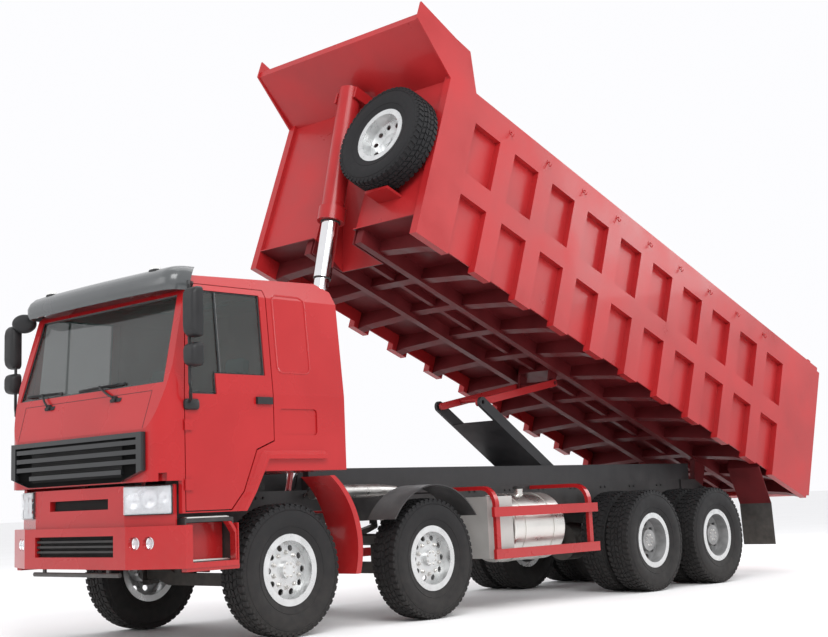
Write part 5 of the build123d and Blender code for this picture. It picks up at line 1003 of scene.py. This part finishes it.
lens_face, lens_z, lens_half = ahead(-7.560) + 0.060, 0.915, 0.046
lens_levels = ((-0.002, 1.0), (0.010, 1.0), (0.018, 0.93), (0.020, 0.80))
tail_lenses = (("amber", amber, 0.705, 0.782), ("red", tail_red, 0.602, 0.700), ("clear", lens, 0.498, 0.597))
for name, material, x_in, x_out in tail_lenses:
    part = Builder()
    for sign in (-1, 1):
        part.rings([[(sign * ((x_in + x_out) / 2 + a * shrink), lens_face + out, lens_z + b * shrink)
                     for a, b in round_outline((x_out - x_in) / 2, lens_half, 0.012, 4)]
                    for out, shrink in lens_levels])
    part.piece(f"tail_lens_{name}", material, "chassis", "lamp")

# Gauges and vents on the dashboard

gauges = ((0.48, 0.045), (0.60, 0.045), (0.70, 0.028))
gauge_height = 1.955
vents = (-0.75, -0.25, 0.10, 0.98)
vent_rows, vent_low, vent_pitch = 4, 1.93, 0.018
part = Builder()
for x, radius in gauges:
    turn = standing(*touch(dash_surface, (x, ahead(0.4), gauge_height), (0, -1, 0)))
    part.turned([(-0.002, radius), (0.010, radius), (0.010, radius * 0.9), (0.002, radius * 0.88), (0.002, 0.002),
                 (-0.002, 0.002)], 28, turn)
for x in vents:
    for row in range(vent_rows):
        place, _ = touch(dash_surface, (x, ahead(0.4), vent_low + vent_pitch * row), (0, -1, 0))
        part.box((x - 0.06, place.y - 0.004, place.z - 0.003), (x + 0.06, place.y + 0.010, place.z + 0.003))
part.piece("dash_gauges_vents", plastic, "cab")

# Backing behind the nose's lower corners

corner_x, corner_ahead, corner_skin, corner_sheet = 0.950, 1.150, 0.168, 0.006
corner_low, corner_high, corner_steps = 1.338, 1.397, 8
for side, sign in sides:
    part = Builder()
    part.rings([[(sign * (corner_x + r * cos(turn)), ahead(corner_ahead + r * sin(turn)), z)
                 for r, z in ((corner_skin, corner_low), (corner_skin + corner_sheet, corner_low),
                              (corner_skin + corner_sheet, corner_high), (corner_skin, corner_high))]
                for turn in (radians(8 + 74 * step / corner_steps) for step in range(corner_steps + 1))])
    part.piece(f"nose_corner_{side}", red, "cab", "red_paint")

# Tarpaulin hooks below the bed's top rails

def on_bed(x, length, height):
    """A place on the raised bed from its distance ahead of the hinge and its height over the frame line."""
    return Vector((x, bed_pivot.y - length * cos(bed_tilt) + height * sin(bed_tilt),
                   bed_pivot.z + length * sin(bed_tilt) + height * cos(bed_tilt)))


hook_count, hook_z = 9, 1.985
pocket_first, pocket_pitch, hook_shift = 5.664, 0.668, 0.1265
# distance out from the bed's side and height over the hook's place
hook_path = ((-0.003, 0.040), (0.014, 0.040), (0.022, 0.030), (0.022, -0.004), (0.026, -0.016), (0.036, -0.020),
             (0.046, -0.010), (0.048, 0.006))
for side, sign in sides:
    part = Builder()
    for index in range(hook_count):
        length = pocket_first - pocket_pitch * index - hook_shift
        part.tube([on_bed(sign * (bed_half_width + out), length, hook_z + rise) for out, rise in hook_path], 0.006, 8)
        part.pad([(out, 0.026, 0.020, 0.008) for out in (-0.002, 0.005)], lambda a, b, out: on_bed(
            sign * (bed_half_width + out), length + a, hook_z + 0.036 + b), 3)
    part.piece(f"tarp_hooks_{side}", bed_red, "bed", "red_paint")

# Seal rings round the mouth of each hoist stage

hoist_foot = Vector((0.0, ahead(-1.000), 1.150))
hoist_along = (on_bed(0.0, 6.800, 2.050) - hoist_foot).normalized()
widest_ring = 0.14
stages = ["hoist_barrel"] + [f"hoist_stage_{number}" for number in range(1, 5)]


def hoist_reach(vertex):
    """How far along the hoist's axis a vertex lies, measured from the hoist's foot."""
    return (vertex.co - hoist_foot).dot(hoist_along)


for name, inner in zip(stages[:-1], stages[1:]):
    low = min(hoist_reach(v) for v in nodes[name].data.vertices)
    radius = max((v.co - hoist_foot - hoist_along * hoist_reach(v)).length
                 for v in nodes[inner].data.vertices if hoist_reach(v) < low)
    if radius < widest_ring:
        part = Builder()
        part.turned([(-0.014, radius + 0.0015), (-0.014, radius + 0.008), (-0.010, radius + 0.012),
                     (0.002, radius + 0.012), (0.002, radius + 0.0015)], 48,
                    standing(hoist_foot + hoist_along * low, hoist_along))
        part.piece(f"{name}_seal_ring", iron, f"{name}_body", "iron")

# Light, floor and camera

def lamp(name, energy, place, aim, size):
    """An area lamp that points at a place."""
    data = bpy.data.lights.new(name, "AREA")
    data.energy = energy
    data.shape = "RECTANGLE"
    data.size, data.size_y = size
    item = added(name, data)
    item.location = place
    item.rotation_euler = (Vector(aim) - Vector(place)).to_track_quat("-Z", "Y").to_euler()


lamp("key_light", 1500.0, (11.0, -9.0, 11.0), (0.0, 0.0, 2.0), (9.0, 7.0))
lamp("front_light", 250.0, (-3.0, -14.0, 6.0), (0.0, -3.0, 2.0), (8.0, 6.0))
lamp("top_light", 700.0, (0.0, 2.0, 15.0), (0.0, 0.0, 0.0), (12.0, 14.0))
lamp("rear_light", 700.0, (6.0, 13.0, 8.0), (0.0, 2.0, 2.0), (8.0, 6.0))

bpy.context.scene.view_settings.view_transform = "Standard"

world = bpy.data.worlds.new("pale_studio")
bpy.context.scene.world = world
world.use_nodes = True
feed(world.node_tree, world.node_tree.nodes["Background"], Color=(0.98, 0.98, 1.0, 1), Strength=1.0)

floor_reach = 240.0
floor_corners = [(x * floor_reach, y * floor_reach, 0) for x, y in ((-1, -1), (1, -1), (1, 1), (-1, 1))]
added("floor", mesh_from("floor", floor_corners, [(0, 1, 2, 3)], floor_paint))

camera_data = bpy.data.cameras.new("photo_camera")
camera = added("photo_camera", camera_data)
camera_data.sensor_width = sensor_width
camera_data.lens = focal_pixels / image_width * sensor_width
camera_data.shift_x = shift_right
camera_data.shift_y = shift_up
camera_data.clip_end = view_limit
camera.matrix_world = (Matrix.Translation(camera_offset + Vector((0, axle_1_y, 0)))
                       @ Matrix.Rotation(camera_yaw, 4, "Z") @ Matrix.Rotation(pi / 2 + camera_pitch, 4, "X")
                       @ Matrix.Rotation(camera_roll, 4, "Z"))
bpy.context.scene.camera = camera
